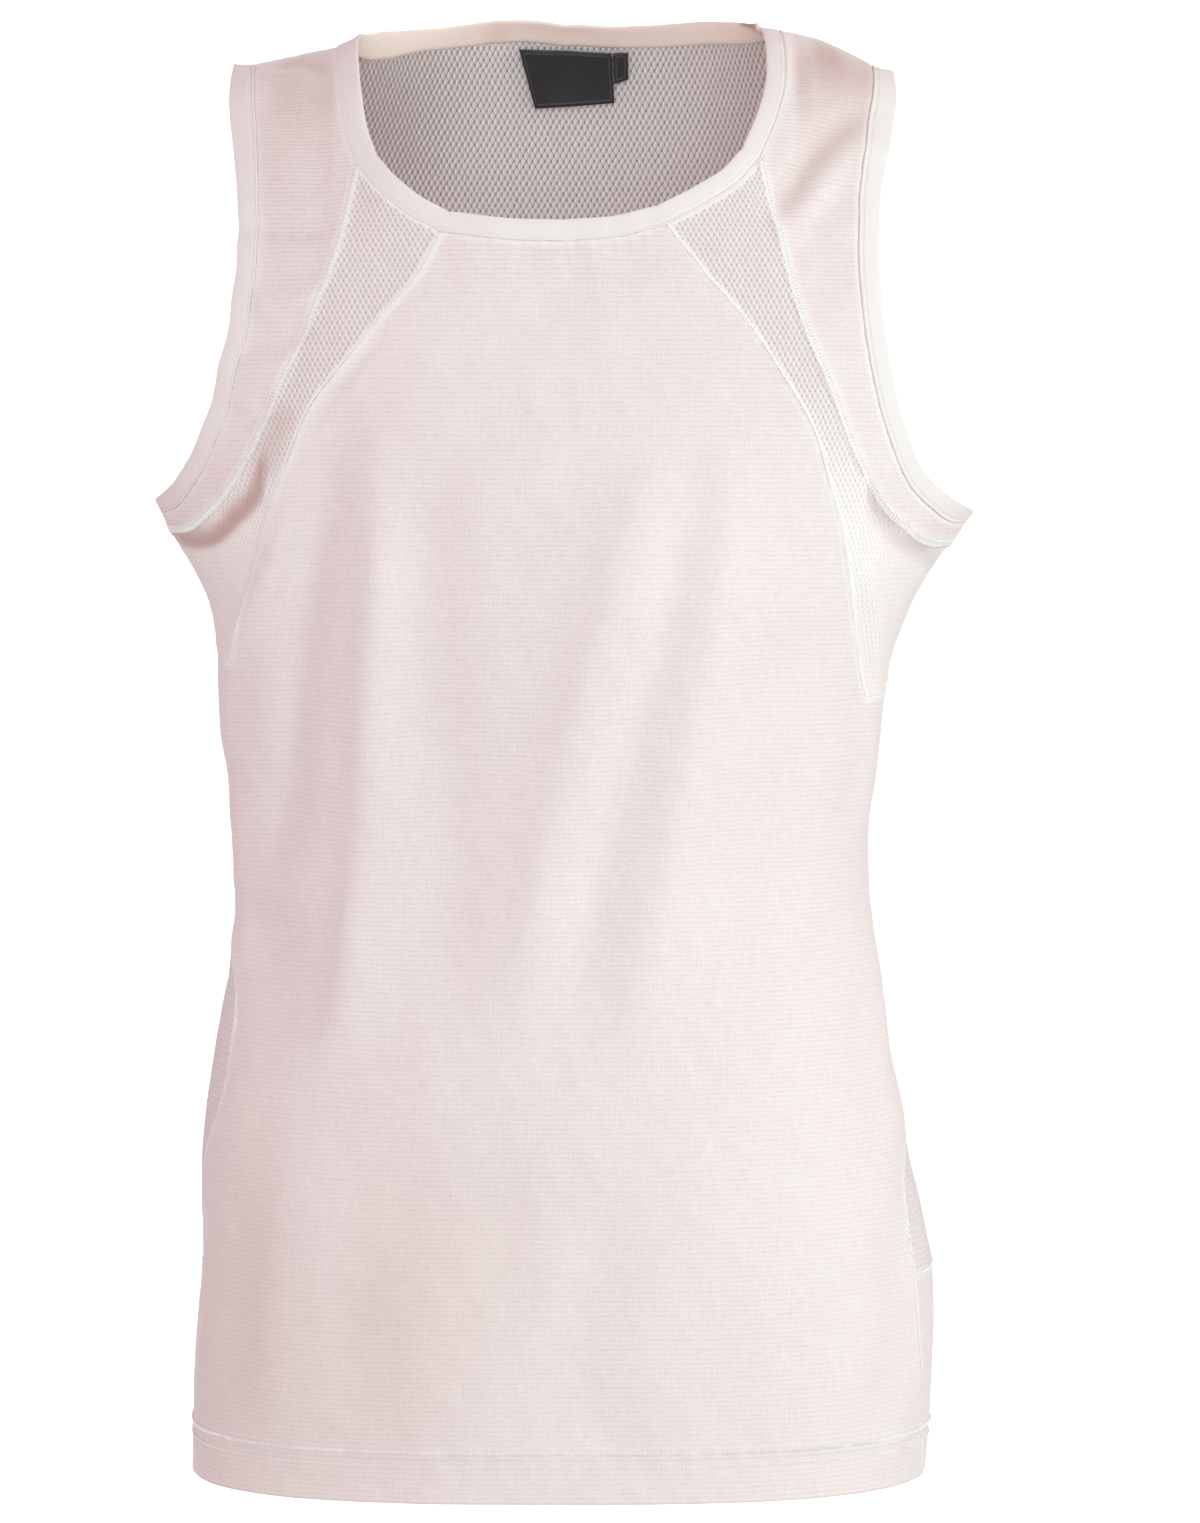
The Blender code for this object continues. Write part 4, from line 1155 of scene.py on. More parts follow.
# ---------------------------------------------------------------- the lines of the cut
@dataclass
class Cut:
    """All seam lines of one side of the wearer, as places."""

    side: Side
    form: Form

    def __post_init__(self) -> None:
        """Works the lines out of the tables."""
        sign = self.side.value
        corner, shoulder = INSET_CORNER.of(self.side), SHOULDER_CORNER.of(self.side)
        hem = np.linspace(0, FINE_HEIGHT, HEM_STEPS + 1)
        band = np.linspace(FINE_HEIGHT, BAND_HEIGHT, BAND_STEPS + 1)
        self.band_side = self.at_side(np.concatenate([hem, band[1:]]))
        self.body_side = self.at_side(np.linspace(BAND_HEIGHT, corner, BODY_STEPS + 1))
        self.inset_side = self.at_side(np.linspace(corner, shoulder, INSET_STEPS + 1))
        armpit = np.linspace(shoulder, UNDERARM.of(self.side), SHOULDER_STEPS + 1)
        self.shoulder_side = self.at_side(armpit)
        self.neck_side = spread(self.knots(NECK_SIDE), NECK_SIDE_STEPS)
        self.neck_inset = spread(self.knots(NECK_INSET), 2 * INSET_STEPS)
        self.neck_centre = spread(self.knots(NECK_CENTRE), CENTRE_STEPS)
        outer = np.concatenate([self.knots(OUTER_SEAM), self.inset_side[-1:]])
        self.outer_seam = spread(outer, SEAM_STEPS)
        self.inner_seam = spread(self.knots(INNER_SEAM), SEAM_STEPS)
        armhole = np.concatenate([self.knots(ARMHOLE_FRONT), self.shoulder_side[-1:]])
        self.armhole_front = spread(armhole, NECK_SIDE_STEPS + SEAM_STEPS)
        armhole = np.concatenate([self.knots(ARMHOLE_BACK, True), self.shoulder_side[-1:]])
        self.armhole_back = spread(armhole, ARMHOLE_BACK_STEPS)
        self.neck_back = spread(self.knots(NECK_BACK, True), BACK_NECK_STEPS)
        self.point = self.inner_seam[-1]
        self.under_inset = straight(self.inset_side[0], self.point, WING_STEPS)
        foot = np.array([sign * np.radians(WING_FOOT.of(self.side)), 0.0])
        share = join(self.band_side, self.body_side)[:, 1:] / corner
        self.under_point = (1 - share) * foot + share * self.point
        self.ridge_front = straight(self.neck_side[0], self.armhole_front[0], SHOULDER_STEPS)
        self.ridge_back = straight(self.neck_back[0], self.armhole_back[0], SHOULDER_STEPS)

    def knots(self, rows: list, behind: bool = False) -> Array:
        """Places of a table's rows on this side."""
        table = np.array(rows, float)
        first = 0 if self.side is Side.RIGHT else 2
        across, height = self.side.value * table[:, first], table[:, first + 1]
        places = self.form.place_of(across, height, behind)
        if behind and self.side is Side.RIGHT:
            places[:, 0] -= TURN
        return places

    def facing_out(self, grid: Array) -> Array:
        """A grid of this side, turned so that its faces look outwards."""
        return grid if self.side is Side.RIGHT else grid[:, ::-1]

    def at_side(self, rises: Array) -> Array:
        """Places of the side seam at some rises."""
        table = np.array(SIDE_SEAM, float)
        degrees = flow(table[:, 0], table[:, 1 if self.side is Side.RIGHT else 2], rises)
        return np.stack([self.side.value * np.radians(degrees), rises], axis=-1)


# ---------------------------------------------------------------- panels
@dataclass(frozen=True)
class SeamShape:
    """How the cloth beside a seam lies: a furrow, a raised welt, and small puckers."""

    roll: float     # depth of the furrow
    reach: float    # half width of the furrow
    welt: float     # height of the seam allowance
    width: float    # width of the seam allowance
    pucker: float   # height of the puckers

    def relief(self, gap: Array, run: Array) -> Array:
        """Lift beside the seam.

        It is welt·(1 - step) over the allowance, less roll·exp(-(gap/reach)^2), and puckers that
        die away as exp(-gap/5).

        Args:
            gap: distance to the seam.
            run: run along the seam.

        Returns:
            The lift.
        """
        furrow = -self.roll * np.exp(-((gap / self.reach) ** 2))
        welt = self.welt * (1 - soft_step(self.width - 0.7, self.width + 0.9, gap))
        wave = np.sin(run * 0.83 + 2.0 * np.sin(run * 0.11)) * np.sin(run * 0.31 + 1.0)
        return furrow + welt + self.pucker * wave * np.exp(-gap / 5.0)


COVERED = SeamShape(roll=0.06, reach=0.7, welt=0.40, width=2.8, pucker=0.10)
NARROW = SeamShape(roll=0.06, reach=0.6, welt=0.30, width=1.8, pucker=0.12)
BOUND = SeamShape(roll=0.22, reach=0.8, welt=0.12, width=3.2, pucker=0.22)
SNUG = SeamShape(roll=0.45, reach=0.8, welt=0.12, width=3.2, pucker=0.16)
PLAIN = SeamShape(roll=0.45, reach=0.9, welt=0.25, width=3.6, pucker=0.14)


@dataclass
class Tailor:
    """Makes walls of cloth from grids of places."""

    form: Form
    lay: Lay
    wall: float = 0.9          # thickness of a panel
    hem_wall: float = 1.5      # thickness where the hem is turned up
    gap: float = 0.12          # a panel's edge stays this far from the seam line
    swell: float = 0.1         # how far its middle stands out

    def panel(
        self, name: str, grids: list[Array], seams: list[tuple[Array, SeamShape]], centre: float,
        material: Finish, hemmed: bool = False,
    ) -> Piece:
        """Wall of cloth with rounded edges.

        The outer face lies on the folded surface plus the seams' relief; the inner face is a wall's
        thickness below, and a row of points between them rounds the edge.

        Args:
            name: the piece's name.
            grids: grids of places.
            seams: lines of places of its seams, each with its shape.
            centre: angle of the centre line that the knit's lengths count from.
            material: its finish.
            hemmed: whether its foot is a turned-up hem.

        Returns:
            The object.
        """
        places, quads = weld([edged(grid) for grid in grids])
        points, outward = self.form.cloth(places)
        nearest = np.full(len(points), SEAM_REACH)
        relief = np.zeros(len(points))
        for seam, shape in seams:
            line, _ = self.form.cloth(seam)
            gap, run = distance_to(points, line)
            closer = gap < nearest
            relief = np.where(closer, shape.relief(gap, run), relief)
            nearest = np.minimum(nearest, gap)
        if hemmed:
            relief = relief + self.hem_relief(points, places)
        rim = rim_of(quads)
        inwards = towards_rim(points, outward, rim)
        outer = points + inwards * self.gap + outward * relief[:, None]
        hem = 1 - soft_step(HEM_DEPTH - 0.5, HEM_DEPTH + 1.5, places[:, 1]) if hemmed else 0.0
        wall = (self.wall + (self.hem_wall - self.wall) * hem) * np.ones(len(outer))
        inner = outer - outward * wall[:, None]
        points, faces, on_rim = walled(outer, inner, quads, rim, inwards, self.swell)
        cloth = np.column_stack([self.lay.of(places, centre), nearest])
        # painted shade from the folds, the same on both faces
        tint = self.form.tinted(outer, places[:, 0])
        inside = [np.zeros(len(outer)), np.ones(len(outer)), np.full(len(on_rim), 0.5)]
        return make_piece(
            name, points, faces, material, np.concatenate([cloth, cloth, cloth[on_rim]]),
            tint=np.concatenate([tint, tint, tint[on_rim]]), inside=np.concatenate(inside),
        )

    def hem_relief(self, points: Array, places: Array) -> Array:
        """Relief of the turned-up hem: a step at its top, soft puckers, and a furrow by the row.

        Args:
            points: points of the cloth.
            places: their places.

        Returns:
            The lift.
        """
        rise, x = places[:, 1], points[:, 0] + 0.7 * points[:, 1]    # x also runs on round a side
        step = 0.35 * (1 - soft_step(HEM_DEPTH + 0.6, HEM_DEPTH + 2.6, rise))
        row = 0.15 * np.exp(-(((rise - HEM_DEPTH - 0.6) / 1.3) ** 2))
        furrow = -0.60 * np.exp(-(((rise - HEM_FURROW) / 0.75) ** 2))
        fading = np.exp(-(((rise - HEM_PUCKERS) / 6.0) ** 2))
        pucker = np.sin(x * 0.55 + 1.5 * np.sin(x * 0.07)) * fading
        return step + row + furrow + 0.2 * pucker


# ---------------------------------------------------------------- stitches
@dataclass(frozen=True)
class Row:
    """One row of stitches along a seam: what each spans along and across it, in millimetres."""

    pitch: float
    along: tuple[float, float]
    across: tuple[float, float]
    zigzag: bool = False
    radius: float = 0.24
    arch: float = 0.25
    narrow: float = 1.0     # share of the width at the start of the line


@dataclass
class Sewing:
    """Lays rows of stitches along lines of places and joins them into one mesh."""

    form: Form
    rings: int = 3          # rings of points along a thread, and points round each
    sides: int = 6
    uneven: float = 0.06    # share of the pitch that a stitch may be off

    def samples(self, places: Array, lift: float) -> Line:
        """Run, points and outward directions along a line of places."""
        points, outward = self.form.cloth(places)
        points = points + outward * lift
        return run_of(points), points, outward

    def ends(self, line: Line, row: Row, sense: int) -> tuple[Array, Array, Array]:
        """Start, end and outward direction of each stitch of a row.

        A stitch starts and ends at its place along the line plus its two shifts along it, and
        stands off across the line by its two shifts across, which change sides in a zigzag.

        Args:
            line: run, points and outward directions along the line.
            row: the row.
            sense: 1, or -1 for the mirrored row.

        Returns:
            Starts, ends and outward directions.
        """
        run, points, outward = line
        count = max(int((run[-1] - 2 * row.pitch) / row.pitch), 1)
        at = row.pitch + np.arange(count + 1) * row.pitch
        turns = np.where(np.arange(count + 1) % 2 == 0, 1.0, -1.0 if row.zigzag else 1.0)
        flip = sense * turns * (row.narrow + (1 - row.narrow) * at / run[-1])
        random = np.random.default_rng(len(run) + count)
        jitter = random.uniform(-self.uneven, self.uneven, count + 1) * row.pitch

        def read(values: Array, where: Array) -> Array:
            """Values along the line, straight between samples."""
            return np.stack([np.interp(where, run, values[:, i]) for i in range(3)], axis=-1)

        found = []
        for shift, aside in zip(row.along, row.across):
            where = np.clip(at + shift + jitter, 0.05, run[-1] - 0.05)
            normal = unit(read(outward, where))
            tangent = unit(read(points, where + 0.5) - read(points, where - 0.5))
            found.append(read(points, where) + np.cross(normal, tangent) * (aside * flip)[:, None])
        return found[0], found[1], unit(read(outward, at))

    def threads(
        self, start: Array, end: Array, outward: Array, row: Row
    ) -> tuple[Array, Array, Array]:
        """Short arched threads with round ends.

        The middle line is the chord plus arch·sin(pi t) outwards; the radius shrinks towards the
        ends by the square root of 1 - (2t - 1)^4.

        Args:
            start: start of each thread.
            end: end of each thread.
            outward: outward direction of each thread.
            row: gives the radius and the arch.

        Returns:
            Points, four-cornered faces and three-cornered faces.
        """
        t = np.linspace(0, 1, self.rings + 2)[1:-1]
        chord = end - start
        length = np.linalg.norm(chord, axis=-1)[:, None, None]
        way = unit(chord)[:, None]
        bend = row.arch * np.pi * np.cos(np.pi * t)[None, :, None] / length
        tangent = unit(way + bend * outward[:, None])
        aside = unit(np.cross(outward[:, None], tangent))
        up = np.cross(tangent, aside)
        middle = start[:, None] + chord[:, None] * t[None, :, None]
        middle = middle + outward[:, None] * (row.arch * np.sin(np.pi * t))[None, :, None]
        radius = row.radius * np.sqrt(1 - (2 * t - 1) ** 4)
        turn = np.arange(self.sides) * TURN / self.sides
        ring = (
            aside[:, :, None] * np.cos(turn)[None, None, :, None]
            + up[:, :, None] * np.sin(turn)[None, None, :, None]
        )
        tube = middle[:, :, None] + ring * radius[None, :, None, None]
        count, each = len(start), self.rings * self.sides + 2
        points = np.concatenate([tube.reshape(count, -1, 3), start[:, None], end[:, None]], axis=1)
        quads = quads_of(self.rings, self.sides, wrapped=True)
        k = np.arange(self.sides)
        after = (k + 1) % self.sides
        last = (self.rings - 1) * self.sides
        first_fan = np.stack([after, k, np.full_like(k, each - 2)], axis=-1)
        last_fan = np.stack([last + k, last + after, np.full_like(k, each - 1)], axis=-1)
        fans = np.concatenate([first_fan, last_fan])
        starts = (np.arange(count) * each)[:, None, None]
        return points.reshape(-1, 3), (quads + starts).reshape(-1, 4), (fans + starts).reshape(-1, 3)

    def sew(self, name: str, rows: list[tuple[Line, Row, int]], material: Finish) -> Piece:
        """Rows of stitches as one mesh.

        Args:
            name: the piece's name.
            rows: each line with its row of stitches and the row's sense.
            material: the thread.

        Returns:
            The object.
        """
        points, faces, total = [], [], 0
        for line, row, sense in rows:
            start, end, outward = self.ends(line, row, sense)
            where, quads, fans = self.threads(start, end, outward, row)
            points.append(where)
            faces += (quads + total).tolist() + (fans + total).tolist()
            total += len(where)
        return make_piece(name, np.concatenate(points), faces, material)


COVERSTITCH = (
    Row(1.50, (0.70, -0.70), (-1.5, 3.4), radius=0.22, arch=0.06, narrow=0.7),
    Row(1.50, (-0.70, 0.70), (-1.7, 3.6), radius=0.28, arch=0.20, narrow=0.7),
)
EDGE_STITCH = (
    Row(1.20, (0.5, -0.5), (-1.0, 1.1), radius=0.17, arch=0.05),
    Row(1.20, (-0.5, 0.5), (-1.1, 1.2), radius=0.21, arch=0.14),
)
SIDE_STITCH = (Row(1.25, (-0.4, 0.4), (-0.9, 0.9), radius=0.22),)
TOPSTITCH = (Row(2.1, (-0.75, 0.75), (0.0, 0.0), radius=0.13, arch=0.12),)
LINING_STITCH = (Row(1.40, (0.0, 1.40), (-0.4, 0.4), zigzag=True, radius=0.09, arch=0.05),)
HEM_STITCH = (Row(1.0, (-0.12, 0.12), (-1.0, 1.0), radius=0.25),)
LOWER_STITCH = (Row(1.7, (-0.5, 0.5), (-0.3, 0.3), radius=0.26),)


# ---------------------------------------------------------------- bindings
@dataclass
class Binding:
    """Folded strip round an opening: a cord of piping at the seam, a furrow, and a crowned strip.

    Its profile runs from the seam into the opening and back behind; s is the distance from the
    seam and h the height over the cloth.
    """

    name: str
    loop: Array
    form: Form
    width: Array
    lean: Array
    piping: float = 0.50        # radius of the cord
    cord_at: float = 0.40       # distance of its middle from the seam
    cord_lift: float = 0.04     # height of its middle
    furrow: float = 0.30        # depth of the furrow beside it
    crown: float = 0.30         # how much the strip's middle stands over its edges
    proud: float = 0.30         # height of its edges
    thick: float = 1.55
    bulge: float = 0.6          # how far the free edge rounds out
    tuck: float = 0.15          # where the inner face ends
    start: float = 1.20         # where the strip begins, beyond the cord
    # painted shadows of creases on the inner face
    crease_shadows: tuple[Fold, ...] = ()
    roll: float | Array = 0.0   # how far the free edge rolls inwards

    def rails(self) -> tuple[Array, Array, Array, Array]:
        """Points, outward and inward directions and directions along the closed loop."""
        points, outward = self.form.cloth(self.loop)
        along = sum(np.roll(points, -k, axis=0) - np.roll(points, k, axis=0) for k in range(1, 7))
        along = unit(along)
        inwards = unit(np.cross(outward, along))
        return points, outward, inwards, along

    def profile(self) -> tuple[Array, Array, Array]:
        """Shares of the width, heights, and 1 on the inner face, round the strip.

        Piping: a half circle; strip: proud + crown·sin(pi t)^0.6; the free edge is a half circle
        of half the thickness, and the inner face is flat.

        Returns:
            Rows of a distance from the seam, a share of the width that stands for it where it is
            over 0, and what is added to both; heights; and inner flags.
        """
        turn, strip, inner = np.linspace(0, np.pi, 7), np.linspace(0, 1, 12), np.linspace(1, 0, 6)
        edge, half = turn[1:-1], self.thick / 2
        cord_h = self.cord_lift + self.piping * np.sin(turn)
        strip_h = self.proud + self.crown * np.sin(np.pi * strip) ** 0.6
        strip_h[0] -= self.furrow
        edge_h = self.proud - half + half * np.cos(edge)
        inner_h = np.full(6, self.proud - self.thick)
        stretches = [
            (self.cord_at - self.piping * np.cos(turn), np.zeros(7), np.zeros(7), cord_h, np.zeros(7)),
            (np.full(12, self.start), strip, np.zeros(12), strip_h, np.zeros(12)),
            (np.zeros(5), np.ones(5), self.bulge * np.sin(edge), edge_h, np.linspace(0, 1, 5)),
            (np.full(6, self.tuck), inner, np.zeros(6), inner_h, np.ones(6)),
        ]
        distance, share, swell, height, flag = (np.concatenate(part) for part in zip(*stretches))
        return np.stack([distance, share, swell], axis=-1), height, flag

    def at(self, distance: Array, height: Array) -> tuple[Array, Array]:
        """Points of the strip at distances from the seam and heights over it.

        The way in turns upright with the distance, by the lean.

        Args:
            distance: distance from the seam, for each place of the loop (rows) and profile point.
            height: height over the cloth.

        Returns:
            The points and the outward directions.
        """
        points, outward, inwards, along = self.rails()
        share = np.clip(distance / self.width[:, None], 0, 1)[..., None]
        up = self.lean[:, None, None] * np.array([0, 0, 1.0])
        way = unit(inwards[:, None] + up * (0.25 + 0.5 * share))
        facing = unit(inwards[:, None] + up * (0.25 + 0.75 * share))
        normal = unit(np.cross(along[:, None], facing))
        lean = np.abs(self.lean)[:, None, None] > 0
        normal = np.where(lean, normal, outward[:, None])
        return points[:, None] + way * distance[..., None] + normal * height[..., None], normal

    def build(self, material: Finish) -> Piece:
        """The strip as one closed tube round the loop."""
        places, height, flag = self.profile()
        fixed, share, swell = places.T
        width = self.width[:, None]
        outside = np.where(flag < 1, self.start + share * (width - self.start), share * width)
        distance = np.where(share > 0, outside, fixed) + swell
        run = run_of(self.rails()[0])
        wobble = 0.10 * np.sin(run * 0.55 + 2 * np.sin(run * 0.09)) * np.sin(run * 0.17)
        height = height + wobble[:, None] * (flag < 1) * (share > 0)
        height = height - np.broadcast_to(self.roll, len(self.loop))[:, None] * share**2
        points, _ = self.at(distance, height)
        shape = points.shape[:2]
        quads = quads_of(*shape, closed=True, wrapped=True)[:, ::-1]
        runs, flags = np.broadcast_to(run[:, None], shape), np.broadcast_to(flag, shape)
        cloth = np.stack([runs, distance, flags], axis=-1).reshape(-1, 3)
        x, z = points[..., 0], points[..., 2]
        # painted crease shadows, on the inner face only
        tint = sum(crease_shadow.lift(x, z) * crease_shadow.tint for crease_shadow in self.crease_shadows) * flag + np.zeros_like(x)
        points, tint = points.reshape(-1, 3), tint.ravel()
        return make_piece(self.name, points, quads.tolist(), material, cloth, tint=tint)

    def line(self, share: float, height: float, inner: bool = False) -> Line:
        """Run, points and outward directions of a line along the strip, for stitches."""
        distance = share * self.width[:, None]
        points, normal = self.at(distance, np.full_like(distance, height))
        points = np.concatenate([points[:, 0], points[:1, 0]])
        normal = np.concatenate([normal[:, 0], normal[:1, 0]])
        return run_of(points), points, -normal if inner else normal


# ---------------------------------------------------------------- label
@dataclass
class Label:
    """Flat woven tab that hangs inside the back from its top edge."""

    name: str
    corners: tuple[tuple[float, float], ...]
    form: Form
    clear: float = 3.1      # how far it hangs inside the outer face of the back
    wall: float = 0.6
    steps: int = 22
    curl: float = 0.9       # how far its foot lifts
    swell: float = 0.15     # how far its rim stands out

    def build(self, material: Finish) -> Piece:
        """The tab: straight lines between its corners, with its foot lifted a little."""
        s = np.linspace(0, 1, self.steps + 1)
        (a, b), (c, d) = np.array(self.corners[:2], float), np.array(self.corners[2:], float)
        top = a + s[:, None] * (b - a)
        foot = c + s[:, None] * (d - c)
        seen = (1 - s)[:, None, None] * foot[None] + s[:, None, None] * top[None]
        places = self.form.place_of(seen[..., 0], seen[..., 1], behind=True)
        points, outward = self.form.cloth(places)
        lift = self.curl * (1 - s)[:, None] ** 2 + 0.25 * np.sin(s[None] * 5.0 + 2.0 * s[:, None])
        outer = points - outward * (self.clear + lift)[..., None]
        width, height = np.linalg.norm(b - a), np.linalg.norm(b - d)
        u = np.broadcast_to(s[None] * width, outer.shape[:2])
        v = np.broadcast_to(s[:, None] * height, outer.shape[:2])
        rim_gap = np.minimum(np.minimum(u, width - u), np.minimum(v, height - v))
        quads = quads_of(self.steps + 1, self.steps + 1)[:, ::-1]
        outer, outward = outer.reshape(-1, 3), outward.reshape(-1, 3)
        rim = rim_of(quads)
        inwards = towards_rim(outer, outward, rim)
        inner = outer - outward * self.wall
        points, faces, on_rim = walled(outer, inner, quads, rim, inwards, self.swell)
        cloth = np.stack([u, v, rim_gap], axis=-1).reshape(-1, 3)
        cloth = np.concatenate([cloth, cloth, cloth[on_rim]])
        return make_piece(self.name, points, faces, material, cloth)


# ---------------------------------------------------------------- the garment
@dataclass(frozen=True)
class Pieces:
    """Every piece of the garment, made and dressed."""

    front: Piece
    insets: list[Piece]
    shoulders: list[Piece]
    back: Piece
    band: Piece
    tapes: list[Piece]
    stitches: list[Piece]
    seams: Piece
    hem: Piece
    label: Piece
    tab: Piece


@dataclass
class Singlet:
    """The whole garment: body, insets, shoulders, back, bindings, stitches and labels."""

    form: Form
    finishes: Finishes
    binding_width: float = 8.5
    back_neck_turn: float = 32.0     # behind the ridge, the neck's binding leans fully from here on
    back_neck_lean: float = -0.4     # its lean at the middle
    back_neck_stand: float = 2.6     # what is added to that at the sides
    neck_half: float = 90.0          # half the neck's width
    shoulder_wide: tuple[float, float] = (572.0, 24.0)   # the armhole's binding widens about here
    underarm: tuple[float, float] = (160.0, 172.5)       # and narrows out here across
    shoulder_end: tuple[float, float] = (586.0, 594.0)   # and up here

    def __post_init__(self) -> None:
        """Works out the lines of both sides."""
        self.right = Cut(Side.RIGHT, self.form)
        self.left = Cut(Side.LEFT, self.form)
        self.tailor = Tailor(self.form, Lay(self.form))
        self.sewing = Sewing(self.form)

    def front_panel(self) -> Piece:
        """Front body panel: the middle, and a wing beyond the point of each inset."""
        right, left = self.right, self.left
        neck = join(right.neck_centre, left.neck_centre[::-1])
        hem = straight(right.under_point[0], left.under_point[0], 2 * CENTRE_STEPS)
        first = join(right.under_point, right.inner_seam[::-1])
        last = join(left.under_point, left.inner_seam[::-1])
        grids = [patch(hem, neck, first, last)]
        for cut in (right, left):
            outer = join(cut.band_side, cut.body_side)
            foot = straight(outer[0], cut.under_point[0], WING_STEPS)
            grid = patch(foot, cut.under_inset, outer, cut.under_point)
            grids.append(cut.facing_out(grid))
        seams = [(neck, BOUND)]
        for cut in (right, left):
            seams += [(join(cut.band_side, cut.body_side), PLAIN), (cut.under_inset, PLAIN)]
            seams.append((cut.inner_seam, NARROW))
        piece = self.tailor.panel("front_body", grids, seams, 0.0, self.finishes.shell, hemmed=True)
        return dress(piece, "front_panel")

    def inset(self, cut: Cut, name: str, node: str) -> Piece:
        """Mesh inset between the shoulder panel and the front panel."""
        foot = join(cut.inset_side[::-1], cut.under_inset)
        grid = patch(foot, cut.neck_inset, cut.outer_seam[::-1], cut.inner_seam[::-1], 5)
        seams = [
            (cut.neck_inset, BOUND), (cut.outer_seam, COVERED), (cut.inner_seam, NARROW), (foot, PLAIN),
        ]
        piece = self.tailor.panel(name, [cut.facing_out(grid)], seams, 0.0, self.finishes.mesh)
        return dress(piece, node)

    def shoulder(self, cut: Cut, name: str, node: str) -> Piece:
        """Shoulder panel from the shoulder seam down to the underarm."""
        inner, foot = join(cut.neck_side, cut.outer_seam), cut.shoulder_side
        grid = patch(foot[::-1], cut.ridge_front[::-1], cut.armhole_front[::-1], inner[::-1])
        seams = [
            (cut.neck_side, BOUND), (cut.outer_seam, COVERED), (cut.armhole_front, SNUG),
            (cut.ridge_front, PLAIN), (cut.shoulder_side, PLAIN),
        ]
        piece = self.tailor.panel(name, [cut.facing_out(grid)], seams, 0.0, self.finishes.shell)
        return dress(piece, node)

    def band_top(self) -> Array:
        """Places along the top of the band across the lower back."""
        count = 2 * SHOULDER_STEPS + 2 * BACK_NECK_STEPS
        return straight(self.left.band_side[-1], turned(self.right.band_side)[-1], count)

    def back_panel(self) -> Piece:
        """Mesh back, from the band up to the neck and the shoulder seams."""
        right, left = self.right, self.left
        edges = [
            turned(join(cut.body_side, cut.inset_side, cut.shoulder_side, cut.armhole_back[::-1]))
            for cut in (left, right)
        ]
        neck = join(left.neck_back, turned(right.neck_back)[::-1])
        top = join(left.ridge_back[::-1], neck, turned(right.ridge_back))
        foot = self.band_top()
        by_sides = patch(foot, top, *edges)
        even = patch(*edges, foot, top, hold=2).swapaxes(0, 1)
        middle = np.sin(np.linspace(0, np.pi, len(foot)))[None, :, None] ** 2
        grid = by_sides + middle * (even - by_sides)
        seams = [(edge, PLAIN) for edge in (*edges, foot)] + [(top, BOUND)]
        piece = self.tailor.panel("mesh_back", [grid], seams, np.pi, self.finishes.open_mesh)
        return dress(piece, "back_panel")

    def back_band(self) -> Piece:
        """Plain band across the lower back."""
        first, last = self.left.band_side, turned(self.right.band_side)
        top = self.band_top()
        foot = straight(first[0], last[0], len(top) - 1)
        grid = patch(foot, top, first, last)
        seams = [(first, PLAIN), (last, PLAIN), (top, NARROW)]
        shell = self.finishes.shell
        piece = self.tailor.panel("lower_back_band", [grid], seams, np.pi, shell, hemmed=True)
        return dress(piece, "back_hem_band")

    def neck_strip(self) -> Binding:
        """Binding round the neck; behind, it is wider and turns upright."""
        right, left = self.right, self.left
        front = join(
            right.neck_side, right.neck_inset, right.neck_centre[::2],
            left.neck_centre[::-2], left.neck_inset[::-1], left.neck_side[::-1],
        )
        behind = join(left.neck_back, turned(right.neck_back)[::-1])
        loop = np.concatenate([front[:-1], behind[:-1]])
        points, _ = self.form.cloth(loop)
        share = soft_step(0, 1, (points[:, 1] - self.form.ridge_depth) / self.back_neck_turn)
        lean = self.back_neck_lean + self.back_neck_stand * (points[:, 0] / self.neck_half) ** 2
        stand = np.array(NECK_STAND, float)
        behind_width = flow(stand[:, 0], stand[:, 1], points[:, 0])
        width = self.binding_width + share * (behind_width - self.binding_width)
        return Binding("neck_strip", loop, self.form, width, share * lean, crease_shadows=tuple(NECK_CREASE_SHADOWS))

    def armhole_strip(self, cut: Cut, name: str) -> Binding:
        """Binding round one armhole: down the front, then up behind.

        It is 2 mm wider near the shoulder. At the underarm's tip and on the shoulder ridge it is
        narrower and its free edge rolls outwards.

        Args:
            cut: the side's lines.
            name: the piece's name.

        Returns:
            The binding.
        """
        loop = np.concatenate([cut.armhole_front[:-1], turned(cut.armhole_back[::-1])[:-1]])
        loop = loop if cut.side is Side.LEFT else loop[::-1]
        points, _ = self.form.cloth(loop)
        middle, reach = self.shoulder_wide
        wide = 2.0 * np.exp(-(((points[:, 2] - middle) / reach) ** 2))
        far = soft_step(*self.underarm, np.abs(points[:, 0]))
        high = soft_step(*self.shoulder_end, points[:, 2])
        width = self.binding_width + wide - 3.3 * far - 1.2 * high
        roll = -0.9 * far - 2.0 * high
        return Binding(name, loop, self.form, width, np.zeros(len(loop)), roll=roll)

    def seam_threads(self) -> Piece:
        """Coverstitch on the outer seams, a narrow row on the inner ones and on the sides."""
        rows = []
        for cut in (self.right, self.left):
            sense = -cut.side.value
            for line, lift, kinds in (
                (cut.outer_seam, 0.38, COVERSTITCH), (cut.inner_seam, 0.27, EDGE_STITCH),
                (join(cut.band_side[::3], cut.body_side), 0.12, SIDE_STITCH),
                (cut.ridge_front, 0.12, SIDE_STITCH),
            ):
                samples = self.sewing.samples(line, lift)
                rows += [(samples, row, sense) for row in kinds]
        band = self.sewing.samples(self.band_top(), 0.27)
        rows += [(band, row, 1) for row in EDGE_STITCH]
        return self.sewing.sew("seam_stitches", rows, self.finishes.thread)

